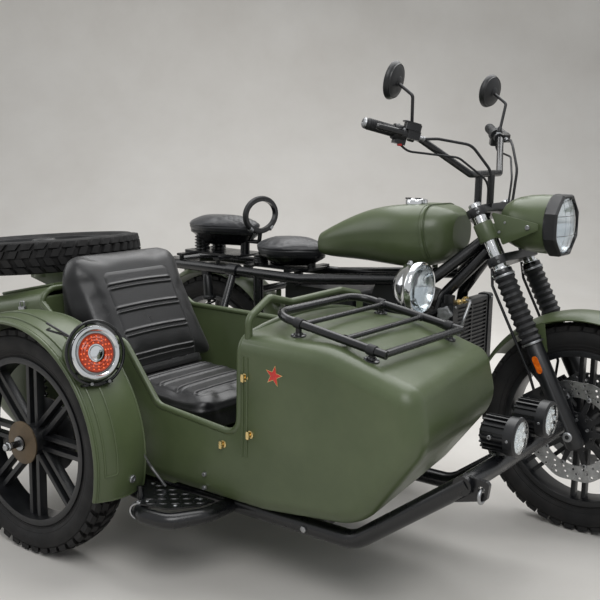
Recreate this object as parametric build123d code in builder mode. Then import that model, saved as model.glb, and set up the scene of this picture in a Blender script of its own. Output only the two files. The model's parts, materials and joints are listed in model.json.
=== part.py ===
from build123d import *
import os
from math import atan2, cos, degrees, radians, sin

# Motorcycle with a sidecar on its right side, in millimetres.
# +X is forward, +Y is left, +Z is up, and z = 0 is the ground.
# Stations are forward of the rear axle, sides are left of the motorcycle's
# centre plane, and heights are above the ground.

# Place of the motorcycle in the frame
rear_axle_x = -670
bike_y = 418

# Wheels
wheelbase = 1500
wheel_radius = 330
tyre_width = 110
bead_radius = 236
rim_width = 84
flange_height = 9
barrel_wall = 8
spoke_pairs = 8
spoke_width = 13
spoke_gap = 34
spoke_depth = 26
hub_radius = 46
axle_radius = 10
bore_clearance = 0.05
seat_gap = 0.3
running_gap = 6

# Fork and steering
rake = 28
fork_spread = 220
fork_offset = 50
stanchion_radius = 20.5
slider_radius = 28
slider_length = 300
slider_foot = 44
gaiter_radius = 33
gaiter_length = 225
gaiter_ribs = 11
lower_yoke_height = 560
yoke_spacing = 165
yoke_thickness = 26
stem_radius = 16
head_tube_radius = 28
disc_radius = 160
disc_thickness = 5
disc_spread = 136

# Handlebar
bar_radius = 11
bar_rise = 118
grip_radius = 16.5
grip_length = 125
mirror_radius = 56

# Headlamp
lamp_height = 950
lamp_rear = 1196
lamp_front = 1404
lamp_radius = 98

# Motorcycle frame
frame_radius = 19
frame_half_width = 125
cradle_height = 235
loop_height = 700

# Sidecar
side_wheel_x = 305
side_wheel_y = -1153
tub_right = -1000
tub_left = -430
tub_wall = 12
tub_bottom = 233
deck_height = 695
deck_crown = 28
deck_edge = 936
nose_x = 1486
nose_setback = 80
tail_x = -212
rim_bead = 9
tub_round = 50
chassis_radius = 24
chassis_right = -930
chassis_left = -404
fender_radius = 375
fender_half_width = 88
fender_wall = 4
spare_x = -190
spare_rise = 95
spare_tilt = 5

tub_mid = (tub_left + tub_right) / 2
spare_height = deck_height + spare_rise
front_axle_x = wheelbase
rake_sin = sin(radians(rake))
rake_cos = cos(radians(rake))
chassis_height = tub_bottom - chassis_radius - seat_gap


def side(y):
    """Plane along the machine, seen from its right side: x forward, y up."""
    return Plane(origin=(rear_axle_x, bike_y + y, 0), x_dir=(1, 0, 0), z_dir=(0, -1, 0))


def across(x):
    """Plane across the machine: x to the left, y up, normal forward."""
    return Plane(origin=(rear_axle_x + x, bike_y, 0), x_dir=(0, 1, 0), z_dir=(1, 0, 0))


def level(z):
    """Level plane: x forward, y left."""
    return Plane(origin=(rear_axle_x, bike_y, z))


def at(x, y, z):
    """Point at a station, a side and a height."""
    return Vector(rear_axle_x + x, bike_y + y, z)


def raked(t, y=0):
    """Plane square to the fork, t above the front axle: x forward, y left."""
    origin = at(front_axle_x - rake_sin * t, y, wheel_radius + rake_cos * t)
    return Plane(origin=origin, x_dir=(rake_cos, 0, rake_sin), z_dir=(-rake_sin, 0, rake_cos))


def hub_plane(x, y):
    """Plane of a standing wheel, its normal along the axle to the right."""
    return Plane(origin=at(x, y, wheel_radius), x_dir=(1, 0, 0), z_dir=(0, -1, 0))


def through(plane):
    """Plane through another plane's normal: x radial, y along that normal."""
    return Plane(origin=plane.origin, x_dir=plane.x_dir, z_dir=-plane.y_dir)


def tube(points, radius, bend=0):
    """Round tube along straight runs joined by tangent arcs."""
    with BuildLine() as route:
        if bend:
            FilletPolyline(*points, radius=bend)
        else:
            Polyline(*points)
    with BuildSketch(Plane(origin=route.line @ 0, z_dir=route.line % 0)) as mouth:
        Circle(radius)
    sweep(mouth.sketch, path=route.line)


def rod(start, end, radius, mode=Mode.ADD):
    """Straight round bar, or a bore, between two points."""
    with BuildSketch(Plane(origin=start, z_dir=end - start)) as mouth:
        Circle(radius)
    extrude(mouth.sketch, amount=(end - start).length, mode=mode)


def turned(plane, corners, mode=Mode.ADD):
    """Solid turned about a plane's normal, from (radius, along) corners."""
    with BuildSketch(through(plane)) as profile:
        with BuildLine():
            Polyline(*corners, close=True)
        make_face()
    revolve(profile.sketch, axis=Axis(plane.origin, plane.z_dir), mode=mode)


def slab(plane, corners, thickness, round_by=0, both=False):
    """Plate of a polygon's outline, with its corners rounded."""
    with BuildSketch(plane) as outline:
        with BuildLine():
            Polyline(*corners, close=True)
        make_face()
        if round_by:
            fillet(outline.vertices(), round_by)
    extrude(outline.sketch, amount=thickness, both=both)


def ring(plane, inner, outer, low, high, mode=Mode.ADD):
    """Ring about a plane's normal, between two distances along it."""
    turned(plane, [(inner, low), (outer, low), (outer, high), (inner, high)], mode)


def tyre(hub):
    """Tyre with a rounded crown, bulged side walls and its beads on the rim."""
    half = tyre_width / 2
    bead = rim_width / 2 - 5 - seat_gap
    neck = bead_radius + flange_height + 4
    shoulder = (wheel_radius - 16, half - 13)
    bulge = (wheel_radius - 45, half)
    with BuildPart() as ring:
        with BuildSketch(through(hub)):
            with BuildLine():
                Line((bead_radius, -bead), (neck, -bead))
                ThreePointArc((neck, -bead), (bulge[0], -bulge[1]), (shoulder[0], -shoulder[1]))
                ThreePointArc((shoulder[0], -shoulder[1]), (wheel_radius, 0), shoulder)
                ThreePointArc(shoulder, bulge, (neck, bead))
                Polyline((neck, bead), (bead_radius, bead), (bead_radius, -bead))
            make_face()
        revolve(axis=Axis(hub.origin, hub.z_dir))
    return ring


def cast_wheel(hub, hub_half, bore):
    """Cast wheel: flanged barrel, pairs of straight spokes and a bored hub."""
    half = rim_width / 2
    top = bead_radius - seat_gap
    lip = bead_radius + flange_height
    inner = bead_radius - barrel_wall
    bead = half - 5
    with BuildPart() as wheel:
        turned(hub, [(inner, -half), (lip, -half), (lip, -bead), (top, -bead),
                     (top, bead), (lip, bead), (lip, half), (inner, half)])
        turned(hub, [(bore, -hub_half), (hub_radius - 8, -hub_half), (hub_radius, -hub_half + 12),
                     (hub_radius, hub_half - 12), (hub_radius - 8, hub_half), (bore, hub_half)])
        spoke_length = inner - hub_radius + 12
        with BuildSketch(hub.offset(-spoke_depth / 2)):
            with PolarLocations(hub_radius - 9 + spoke_length / 2, spoke_pairs):
                with Locations((0, spoke_gap / 2), (0, -spoke_gap / 2)):
                    Rectangle(spoke_length, spoke_width)
        extrude(amount=spoke_depth)
    return wheel


def arch(hub, radius, half_width, wall, front_angle, rear_angle, drop):
    """Fender: a crowned strip bent round a wheel from its front to its rear."""
    start = Plane(hub.origin, x_dir=(cos(radians(front_angle)), 0, sin(radians(front_angle))),
                  z_dir=(-sin(radians(front_angle)), 0, cos(radians(front_angle))))
    low = radius - drop
    with BuildSketch(start) as strip:
        with BuildLine():
            ThreePointArc((low, -half_width), (radius, 0), (low, half_width))
            Line((low, half_width), (low - wall, half_width - wall))
            ThreePointArc((low - wall, half_width - wall), (radius - wall, 0),
                          (low - wall, wall - half_width))
            Line((low - wall, wall - half_width), (low, -half_width))
        make_face()
    revolve(strip.sketch, axis=Axis(hub.origin, (0, -1, 0)), revolution_arc=rear_angle - front_angle)


parts = {}

# Front wheel, tyre and twin brake discs
front_hub = hub_plane(front_axle_x, 0)
front_hub_half = (disc_spread - disc_thickness) / 2
parts["front_tyre"] = tyre(front_hub)
parts["front_wheel"] = cast_wheel(front_hub, front_hub_half, axle_radius + bore_clearance)

carrier_radius = 112
with BuildPart() as front_discs:
    for face in (front_hub_half, -front_hub_half - disc_thickness):
        ring(front_hub, carrier_radius, disc_radius, face, face + disc_thickness)
        ring(front_hub, axle_radius + 6, hub_radius + 8, face, face + disc_thickness)
        with BuildSketch(front_hub.offset(face)):
            with PolarLocations((carrier_radius + hub_radius) / 2, 6):
                Rectangle(carrier_radius - hub_radius + 8, 18)
        extrude(amount=disc_thickness)
parts["front_discs"] = front_discs

# Rear wheel and tyre, the brake disc on the right and the sprocket on the left
rear_hub = hub_plane(0, 0)
rear_hub_half = 70
sprocket_radius = 86
sprocket_teeth = 30
parts["rear_tyre"] = tyre(rear_hub)
with cast_wheel(rear_hub, rear_hub_half, axle_radius + bore_clearance) as rear_wheel:
    ring(rear_hub, axle_radius + 6, 120, rear_hub_half - 1, rear_hub_half + 5)
    ring(rear_hub, axle_radius + 6, sprocket_radius, -rear_hub_half - 8, 1 - rear_hub_half)
    with BuildSketch(rear_hub.offset(-rear_hub_half - 8)) as tooth_gaps:
        with PolarLocations(sprocket_radius + 3, sprocket_teeth):
            Circle(6)
    extrude(tooth_gaps.sketch, amount=9, mode=Mode.SUBTRACT)
parts["rear_wheel"] = rear_wheel

# Sidecar wheel and tyre, its brake disc on the inner side
side_hub = hub_plane(side_wheel_x, side_wheel_y)
side_hub_half = 46
parts["sidecar_tyre"] = tyre(side_hub)
with cast_wheel(side_hub, side_hub_half, axle_radius + bore_clearance) as sidecar_wheel:
    ring(side_hub, axle_radius + 6, 110, -side_hub_half - 5, 1 - side_hub_half)
parts["sidecar_wheel"] = sidecar_wheel

# Fork sliders with the front axle between their feet
leg_sides = (fork_spread / 2, -fork_spread / 2)
caliper_lug = ((-85, 42), (-30, 30), (-30, 100), (-85, 106))
with BuildPart() as fork_sliders:
    for leg in leg_sides:
        turned(raked(0, leg), [(0, -slider_foot), (slider_radius - 6, -slider_foot),
                               (slider_radius, 10 - slider_foot), (slider_radius, slider_length),
                               (0, slider_length)])
        lug = 1 if leg > 0 else -1
        slab(side(lug * 92), [(front_axle_x + x, wheel_radius + z) for x, z in caliper_lug], 8, both=True)
    rod(at(front_axle_x, leg_sides[0] + 34, wheel_radius),
        at(front_axle_x, leg_sides[1] - 34, wheel_radius), axle_radius)
parts["fork_sliders"] = fork_sliders

# Ribbed rubber gaiters, and the stanchions that run through both yokes
gaiter_top = slider_length + gaiter_length
rib_pitch = gaiter_length / gaiter_ribs
with BuildPart() as fork_gaiters:
    for leg in leg_sides:
        wave = [(stanchion_radius + 0.3, gaiter_top), (stanchion_radius + 0.3, slider_length)]
        for rib in range(gaiter_ribs):
            low = slider_length + rib * rib_pitch
            wave += [(gaiter_radius - 6, low), (gaiter_radius, low + rib_pitch / 2)]
        wave.append((gaiter_radius - 6, gaiter_top))
        turned(raked(0, leg), wave)
parts["fork_gaiters"] = fork_gaiters

upper_yoke_height = lower_yoke_height + yoke_spacing
stanchion_top = upper_yoke_height + yoke_thickness + 12
with BuildPart() as stanchions:
    for leg in leg_sides:
        turned(raked(0, leg), [(0, slider_length), (stanchion_radius, slider_length),
                               (stanchion_radius, stanchion_top), (0, stanchion_top)])
parts["fork_stanchions"] = stanchions

# Yokes that clamp both stanchions, joined by the steering stem
with BuildPart() as yokes:
    for height in (lower_yoke_height, upper_yoke_height):
        with BuildSketch(raked(height)):
            with Locations(*[(0, leg) for leg in leg_sides]):
                Circle(stanchion_radius + 13)
            with Locations((-fork_offset, 0)):
                Circle(30)
            make_hull()
            with Locations(*[(0, leg) for leg in leg_sides]):
                Circle(stanchion_radius + bore_clearance, mode=Mode.SUBTRACT)
        extrude(amount=yoke_thickness)
    with BuildSketch(raked(lower_yoke_height)):
        with Locations((-fork_offset, 0)):
            Circle(stem_radius)
    extrude(amount=yoke_spacing + yoke_thickness + 8)
parts["yokes"] = yokes

# Handlebar on two risers
bar_foot = upper_yoke_height + yoke_thickness
riser_back = 30
bar_centre = raked(bar_foot).from_local_coords(Vector(-riser_back, 0, 0)) + Vector(0, 0, bar_rise)
grip_tip = (926, 420, 1247)
grip_run = at(1035, 285, 1205) - at(*grip_tip)
grip_run = grip_run.normalized()
with BuildPart() as handlebar:
    with BuildSketch(raked(bar_foot)):
        with Locations((-riser_back, 45), (-riser_back, -45)):
            Circle(13)
    extrude(amount=bar_rise, dir=(0, 0, 1))
    left_end = at(*grip_tip) + grip_run * (grip_length + 2)
    right_end = Vector(left_end.X, 2 * bike_y - left_end.Y, left_end.Z)
    left_bend = at(1035, 285, 1205)
    left_knee = Vector(bar_centre.X, bike_y + 105, bar_centre.Z)
    right_bend = Vector(left_bend.X, 2 * bike_y - left_bend.Y, left_bend.Z)
    right_knee = Vector(bar_centre.X, bike_y - 105, bar_centre.Z)
    tube([left_end, left_bend, left_knee, right_knee, right_bend, right_end], bar_radius, 18)
parts["handlebar"] = handlebar

# Grips with their switch housings and levers
with BuildPart() as hand_controls:
    for hand in (1, -1):
        tip = at(grip_tip[0], hand * grip_tip[1], grip_tip[2])
        run = Vector(grip_run.X, hand * grip_run.Y, grip_run.Z)
        rod(tip, tip + run * grip_length, grip_radius)
        root = tip + run * (grip_length - 34)
        rod(root, tip + run * (grip_length + 2 - seat_gap), grip_radius + 7)
        pivot = root + Vector(40, 0, -6)
        rod(root + Vector(8, 0, 0), pivot, 9)
        rod(pivot, tip + Vector(48, 0, -10), 6)
parts["hand_controls"] = hand_controls

# Round mirrors on bent stems
with BuildPart() as mirrors:
    for hand in (1, -1):
        clamp = at(1019, hand * 305, 1211.2)
        run = Vector(grip_run.X, hand * grip_run.Y, grip_run.Z)
        rod(clamp - run * 8, clamp + run * 8, bar_radius + 6)
        rod(clamp - run * 9, clamp + run * 9, bar_radius + seat_gap, Mode.SUBTRACT)
        foot = at(1019, hand * 305, 1225)
        knee = at(1030, hand * 326, 1330)
        back = at(972, hand * 330, 1372)
        tube([foot, knee, back], 5, 14)
        face = Plane(origin=at(960, hand * 330, 1375), x_dir=(0, 1, 0), z_dir=(0.94, -hand * 0.12, -0.2))
        with BuildSketch(face):
            Circle(mirror_radius)
        extrude(amount=16, taper=18)
parts["mirrors"] = mirrors

# Headlamp bowl with its bezel, and the reflector's hollow in front
bracket_side = 104
lamp_plane = Plane(origin=at(0, 0, lamp_height), x_dir=(0, 1, 0), z_dir=(1, 0, 0))
with BuildPart() as headlamp:
    turned(lamp_plane, [(0, lamp_rear), (40, lamp_rear), (66, lamp_rear + 24), (84, lamp_rear + 70),
                        (lamp_radius - 3, lamp_front - 40), (lamp_radius - 3, lamp_front - 28),
                        (lamp_radius + 3, lamp_front - 24), (lamp_radius + 3, lamp_front),
                        (lamp_radius - 10, lamp_front), (lamp_radius - 10, lamp_front - 10),
                        (lamp_radius - 16, lamp_front - 34), (60, lamp_front - 66),
                        (22, lamp_front - 84), (0, lamp_front - 84)])
    for hand in (1, -1):
        rod(at(1320, hand * 82, 945), at(1320, hand * (bracket_side - 1.5 - seat_gap), 945), 10)
parts["headlamp"] = headlamp

with BuildPart() as headlamp_lens:
    turned(lamp_plane, [(0, lamp_front - 10 + seat_gap), (lamp_radius - 10.3, lamp_front - 10 + seat_gap),
                        (lamp_radius - 10.3, lamp_front - 4), (60, lamp_front + 6), (0, lamp_front + 10)])
parts["headlamp_lens"] = headlamp_lens

# Folded plates that carry the headlamp from rings on the stanchions
ring_low = 640
with BuildPart() as lamp_brackets:
    for leg in leg_sides:
        hand = 1 if leg > 0 else -1
        inner = stanchion_radius + seat_gap
        turned(raked(0, leg), [(inner, ring_low), (inner + 9, ring_low),
                               (inner + 9, ring_low + 60), (inner, ring_low + 60)])
        slab(side(hand * bracket_side), [(1196, 985), (1240, 885), (1352, 938), (1352, 958)],
             1.5, 6, both=True)
        slab(side(hand * bracket_side), [(1222, 905), (1250, 905), (1232, 950), (1199, 950)],
             1.5, both=True)
parts["lamp_brackets"] = lamp_brackets

# Front fender with its side plates down to the sliders
with BuildPart() as front_fender:
    arch(front_hub, 368, 78, 4, 12, 150, 22)
    slider_side = fork_spread / 2 - slider_radius - seat_gap
    gaiter_side = fork_spread / 2 - gaiter_radius - seat_gap
    stay_corners = ((-120, 329), (-206, 283), (-135, 216), (-104, 233))
    for hand in (1, -1):
        slab(side(hand * (gaiter_side - 2)),
             [(front_axle_x + x, wheel_radius + z) for x, z in stay_corners], 2, 8, both=True)
        rod(at(front_axle_x - 125, hand * (gaiter_side - 3), wheel_radius + 234),
            at(front_axle_x - 125, hand * slider_side, wheel_radius + 234), 12)
parts["front_fender"] = front_fender

# Brake calipers behind the sliders, slotted round the discs, with the hoses
# that rise behind the gaiters to the lower yoke
caliper_corners = ((-148, 42), (-85, 42), (-85, 110), (-108, 132), (-170, 90))
hose_radius = 4.5
hose_behind = gaiter_radius + 13
hose_low = 215
hose_high = 508
with BuildPart() as calipers:
    for hand in (1, -1):
        slab(side(hand * 71), [(front_axle_x + x, wheel_radius + z) for x, z in caliper_corners],
             21, both=True)
    for hand in (1, -1):
        with BuildSketch(side(hand * disc_spread / 2)):
            with Locations((front_axle_x, wheel_radius)):
                Circle(disc_radius + running_gap)
        extrude(amount=disc_thickness / 2 + running_gap, both=True, mode=Mode.SUBTRACT)
    for hand in (1, -1):
        low_clip = raked(hose_low, hand * 118).from_local_coords(Vector(-hose_behind, 0, 0))
        high_clip = raked(hose_high, hand * 118).from_local_coords(Vector(-hose_behind, 0, 0))
        hose_end = raked(lower_yoke_height - 2.5, hand * 112).from_local_coords(Vector(-28, 0, 0))
        tube([at(front_axle_x - 135, hand * 80, wheel_radius + 100), low_clip, high_clip, hose_end],
             hose_radius, 16)
parts["front_calipers"] = calipers

# Motorcycle frame: head tube, twin spars, down tubes, cradle and rear loop
swing_pivot = (374, wheel_radius + 12)
head_low = lower_yoke_height + yoke_thickness + 2
head_length = yoke_spacing - yoke_thickness - 4
with BuildPart() as main_frame:
    steering_stem = raked(head_low)
    with BuildSketch(steering_stem):
        with Locations((-fork_offset, 0)):
            Circle(head_tube_radius)
    extrude(amount=head_length)
    for hand in (1, -1):
        wide = hand * frame_half_width
        tube([at(1130, hand * 18, 880), at(1000, hand * 105, 752), at(480, wide, loop_height),
              at(-120, wide, loop_height), at(-190, wide * 0.55, loop_height)], frame_radius, 30)
        tube([at(1150, hand * 16, 850), at(1028, hand * 70, 700), at(975, hand * 105, 420),
              at(940, wide, cradle_height), at(420, wide, cradle_height), at(300, wide, 330),
              at(288, wide, loop_height - 4)], frame_radius - 0.5, 40)
    rod(at(-188, -70, loop_height), at(-188, 70, loop_height), frame_radius - 2)
    rod(at(430, -frame_half_width, cradle_height), at(430, frame_half_width, cradle_height), 15)
    rod(at(289, -frame_half_width, 640), at(289, frame_half_width, 640), 14)
    for hand in (1, -1):
        slab(side(hand * frame_half_width),
             [(290, swing_pivot[1] - 42), (400, swing_pivot[1] - 80), (404, swing_pivot[1] + 38),
              (290, swing_pivot[1] + 78)], 6, 12, both=True)
        tube([at(1016, hand * 84, 640), at(1022, hand * 296, 640), at(985, hand * 318, 400),
              at(930, hand * frame_half_width, 244)], 12, 50)
    tube([at(1022, -236, 640), at(1064, -298, 640), at(1064, -298, 669.6)], 8, 12)
    with BuildSketch(steering_stem):
        with Locations((-fork_offset, 0)):
            Circle(stem_radius + bore_clearance)
    extrude(amount=head_length, mode=Mode.SUBTRACT)
parts["main_frame"] = main_frame

# Chain line, between the rear sprocket and the one inside the engine
chain_side = rear_hub_half + 4
chain_clear = 0.5
chain_thickness = 12
chain_pitch = 19.05
roller_reach = 3
link_plate = 1.4
link_chamfer = 3.6
front_sprocket = (430, 350)
front_loop_radius = 44


def chain_loop(half_width, nose_radius, mode=Mode.ADD):
    """Filled outline of the chain's loop."""
    with BuildSketch(side(chain_side)) as outline:
        with Locations((0, wheel_radius)):
            Circle(sprocket_radius + chain_clear + chain_thickness)
        with Locations(front_sprocket):
            Circle(nose_radius)
        make_hull()
    extrude(outline.sketch, amount=half_width, both=True, mode=mode)


# Engine: crankcase with stepped round covers, finned cylinders that lean
# forward, the head, and two intake pipes into the air box behind
cover_table = (
    # station, height, radius, reach from the middle
    (560, 385, 92, 168),
    (770, 380, 78, 160),
    (474, 350, 56, 140),
)
cylinder_foot = at(786, 0, 460)
cylinder_run = (at(837, 0, 658) - cylinder_foot).normalized()
fin_count = 9
fin_pitch = 17
fin_thickness = 5
intake_height = 630
intake_lane = 36
intake_radius = 20
air_box_front = 690
with BuildPart() as engine:
    slab(side(0), [(412, 262), (850, 262), (908, 330), (880, 470), (740, 520), (440, 500), (410, 430)],
         100, 24, both=True)
    slab(side(0), [(700, 470), (872, 450), (918, 640), (756, 676)], 80, 8, both=True)
    slab(side(0), [(748, 640), (926, 604), (944, 690), (778, 726)], 86, 14, both=True)
    for fin in range(fin_count):
        fin_foot = cylinder_foot + cylinder_run * (26 + fin * fin_pitch)
        fin_plane = Plane(origin=fin_foot, x_dir=(0, 1, 0), z_dir=cylinder_run)
        with BuildSketch(fin_plane):
            RectangleRounded(184, 192, 22)
        extrude(amount=fin_thickness)
    for lane in (intake_lane, -intake_lane):
        rod(at(760, lane, intake_height), at(air_box_front + seat_gap, lane, intake_height),
            intake_radius)
        rod(at(728, lane, intake_height), at(706, lane, intake_height), intake_radius + 5)
    for station, height, radius, reach in cover_table:
        with BuildSketch(side(0)):
            with Locations((station, height)):
                Circle(radius)
        extrude(amount=reach, both=True, taper=4)
        for hand in (1, -1):
            with BuildSketch(side(hand * reach)):
                with Locations((station, height)):
                    Circle(radius * 0.66)
                    Circle(radius * 0.34, mode=Mode.SUBTRACT)
            extrude(amount=hand * 5, mode=Mode.SUBTRACT)
    chain_loop(9, front_loop_radius + 3, Mode.SUBTRACT)
    for station in (560, 800):
        slab(level(cradle_height + frame_radius), [(station - 15, -frame_half_width),
             (station + 15, -frame_half_width), (station + 15, frame_half_width),
             (station - 15, frame_half_width)], 12)
parts["engine"] = engine

# Radiator ahead of the down tubes, its core cut into louvres, with the coolant
# hoses that pass the left down tube to the engine
radiator_front = 1100
with BuildPart() as radiator:
    slab(side(0), [(1064, 428), (radiator_front, 428), (radiator_front, 686), (1064, 686)],
         118, 6, both=True)
    with BuildSketch(across(radiator_front)):
        with Locations((0, 557)):
            with GridLocations(108, 13, 2, 18):
                Rectangle(100, 8)
    extrude(amount=-6, mode=Mode.SUBTRACT)
    for hand in (1, -1):
        slab(side(hand * 132), [(1060, 424), (1104, 424), (1104, 690), (1060, 690)], 14, 10, both=True)
    rod(at(1082, -132, 688), at(1082, -132, 712), 18)
    for hand in (1, -1):
        rod(at(1066, hand * 75, 660), at(1041.2, hand * 75, 660), 7)
        rod(at(1066, hand * 101, 450), at(1001.3, hand * 101, 450), 7)
    tube([at(1066, 126, 604), at(1010, 122, 604), at(958, 98, 624), at(925, 74, 640)], 12, 24)
    tube([at(1066, 134, 470), at(990, 140, 470), at(940, 112, 452), at(880, 60, 430)], 12, 24)
    add(engine.part, mode=Mode.SUBTRACT)
parts["radiator"] = radiator

# Exhaust: two header pipes that join ahead of a silencer on the left
with BuildPart() as exhaust:
    for lane in (-36, 36):
        tube([at(934, lane, 640), at(990, lane, 628), at(1000, lane, 330), at(940, lane, 196),
              at(790, -20 + lane / 4, 186)], 18, 40)
    tube([at(830, -26, 188), at(760, -20, 184), at(600, 20, 178), at(420, 160, 180), at(300, 204, 240)],
         24, 60)
    with BuildSketch(Plane(origin=at(330, 200, 226), z_dir=(-1, 0, 0.2))):
        Circle(44)
    extrude(amount=430, taper=-1)
parts["exhaust"] = exhaust

# Fuel tank: rounded sections from the saddle to the steering head
tank_low = loop_height + 84
tank_sections = (
    # station, width, bottom above the tank's lowest, height, corner
    (520, 150, 6, 78, 34),
    (640, 232, 2, 140, 60),
    (800, 300, 0, 194, 84),
    (930, 304, 0, 206, 88),
    (1010, 236, 22, 176, 78),
    (1048, 128, 66, 108, 48),
)
with BuildPart() as fuel_tank:
    for station, width, rise, height, corner in tank_sections:
        with BuildSketch(across(station)):
            with Locations((0, tank_low + rise + height / 2)):
                RectangleRounded(width, height, corner)
    loft()
    with BuildSketch(level(tank_low + 198)):
        with Locations((890, -30)):
            Circle(34)
    extrude(amount=20)
    for hand in (1, -1):
        rod(at(900, hand * 100, tank_low - 21.4), at(900, hand * 100, tank_low + 28), 10)
parts["fuel_tank"] = fuel_tank

# Saddles: broad at the back and narrow at the front
rider_underside = loop_height + 62
pillion_underside = loop_height + 122
saddle_shapes = (
    # name, rear station, length, half width behind, half width in front, underside, thickness
    ("rider_saddle", 208, 295, 128, 52, rider_underside, 68),
    ("pillion_saddle", -140, 325, 118, 58, pillion_underside, 68),
)
for name, rear, length, broad, narrow, underside, thickness in saddle_shapes:
    with BuildPart() as saddle:
        with BuildSketch(level(underside)):
            with Locations((rear + broad, 0)):
                Circle(broad)
            with Locations((rear + length - narrow, 0)):
                Circle(narrow)
            make_hull()
        extrude(amount=thickness)
        fillet(saddle.faces().sort_by(Axis.Z)[-1].edges(), 26)
        fillet(saddle.faces().sort_by(Axis.Z)[0].edges(), 12)
    parts[name] = saddle

# Saddle brackets with their springs, the plate below the pillion saddle
# and its grab ring
ring_tube = 8
with BuildPart() as saddle_mounts:
    loop_top = loop_height + frame_radius + seat_gap
    plate_top = loop_height + 50
    slab(level(loop_top), [(170, -60), (470, -60), (470, 60), (170, 60)], 8)
    for station in (230, 420):
        slab(level(loop_top), [(station - 14, -frame_half_width), (station + 14, -frame_half_width),
                               (station + 14, frame_half_width), (station - 14, frame_half_width)], 8)
    for hand in (1, -1):
        rod(at(240, hand * 50, loop_top), at(240, hand * 50, rider_underside - seat_gap), 22)
    rod(at(440, 0, loop_top), at(440, 0, rider_underside - seat_gap), 16)
    for hand in (1, -1):
        rod(at(-60, hand * 48, plate_top), at(-60, hand * 48, pillion_underside - seat_gap), 24)
    rod(at(120, 0, plate_top), at(120, 0, pillion_underside - seat_gap), 18)
    ring_foot = pillion_underside - 22
    tube([at(120, 0, ring_foot), at(190, 0, ring_foot), at(196, 0, ring_foot + 46)], ring_tube, 12)
    with BuildSketch(across(196)):
        with Locations((0, ring_foot + 105)):
            Ellipse(98, 68)
            Ellipse(98 - 2 * ring_tube, 68 - 2 * ring_tube, mode=Mode.SUBTRACT)
    extrude(amount=ring_tube, both=True)
    slab(level(plate_top - 8), [(-134, -82), (150, -82), (150, 82), (-134, 82)], 9, 20)
    for station in (-100, 90):
        reach = frame_half_width + 12
        slab(level(plate_top - 16), [(station - 14, -reach), (station + 14, -reach),
                                     (station + 14, reach), (station - 14, reach)], 9)
        for wide in (frame_half_width, -frame_half_width):
            rod(at(station, wide, loop_top), at(station, wide, plate_top - 15), 9)
parts["saddle_mounts"] = saddle_mounts

rear_fender_radius = 374

# Rear fender and the box below the rider's saddle
with BuildPart() as rear_fender:
    arch(rear_hub, rear_fender_radius, 78, 4, 30, 202, 30)
    rod(at(-188, 0, 650), at(-188, 0, loop_height - frame_radius + 2 - seat_gap), 12)
    rod(at(289, 0, 564), at(289, 0, 640 - 14 - seat_gap), 10)
parts["rear_fender"] = rear_fender

with BuildPart() as battery_box:
    box_top = loop_height - 28
    slab(side(0), [(395, box_top - 152), (air_box_front, box_top - 127), (air_box_front, box_top),
                   (395, box_top)], 98, 18, both=True)
    slab(level(loop_height - frame_radius - seat_gap - 10),
         [(420, -frame_half_width), (460, -frame_half_width), (460, frame_half_width),
          (420, frame_half_width)], 10)
parts["battery_box"] = battery_box

# Swing arm with the rear axle and the studs for the shock absorbers
shock_side = frame_half_width
shock_foot = (70, wheel_radius + 8)
with BuildPart() as swing_arm:
    for hand in (1, -1):
        slab(side(hand * 93), [(-46, wheel_radius - 24), (40, wheel_radius - 30),
                               (394, swing_pivot[1] - 24), (394, swing_pivot[1] + 24),
                               (40, wheel_radius + 32), (-46, wheel_radius + 24)], 9, 10, both=True)
        rod(at(shock_foot[0], hand * 100, shock_foot[1]),
            at(shock_foot[0], hand * (shock_side + 16), shock_foot[1]), 9)
    pivot_reach = frame_half_width - 6 - seat_gap
    rod(at(swing_pivot[0], -pivot_reach, swing_pivot[1]),
        at(swing_pivot[0], pivot_reach, swing_pivot[1]), 13)
    rod(at(0, -120, wheel_radius), at(0, 120, wheel_radius), axle_radius)
parts["swing_arm"] = swing_arm



def spring(foot, run, radius, length, coils):
    """Coils of a spring as rounded rings between two seats."""
    pitch = length / coils
    wave = [(0, 0)]
    for coil in range(coils):
        low = coil * pitch
        wave += [(radius - 6, low), (radius - 1, low + pitch * 0.2), (radius, low + pitch / 2),
                 (radius - 1, low + pitch * 0.8)]
    wave += [(radius - 6, length), (0, length)]
    turned(Plane(origin=foot, z_dir=run), wave)


# Shock absorbers of the motorcycle and of the sidecar, each inside its spring
arm_side = -1032
with BuildPart() as shock_absorbers:
    for hand in (1, -1):
        foot = at(shock_foot[0], hand * shock_side, shock_foot[1] + 9.3)
        eye = at(34, hand * shock_side, loop_height - frame_radius - 1.6)
        run = (eye - foot).normalized()
        rod(foot, eye, 11)
        spring(foot + run * 40, run, 27, 195, 11)
    foot = at(196, arm_side, 333)
    eye = at(150, arm_side, 566)
    run = (eye - foot).normalized()
    rod(foot, eye, 9)
    spring(foot + run * 30, run, 19, 160, 11)
    rod(at(150, tub_right - seat_gap, 572), at(150, arm_side - 12, 572), 11)
parts["shock_absorbers"] = shock_absorbers

# Drive chain: rollers on the pitch line, and link plates that alternate
# between an inner and an outer layer on both sides of them
with BuildSketch(side(chain_side)) as pitch_loop:
    with Locations((0, wheel_radius)):
        Circle(sprocket_radius + chain_clear + chain_thickness / 2)
    with Locations(front_sprocket):
        Circle(front_loop_radius - chain_thickness / 2)
    make_hull()
pitch_line = pitch_loop.sketch.face().outer_wire()
link_count = 2 * round(pitch_line.length / chain_pitch / 2)
chain_pins = [side(chain_side).to_local_coords(pitch_line @ (k / link_count)) for k in range(link_count)]


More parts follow.
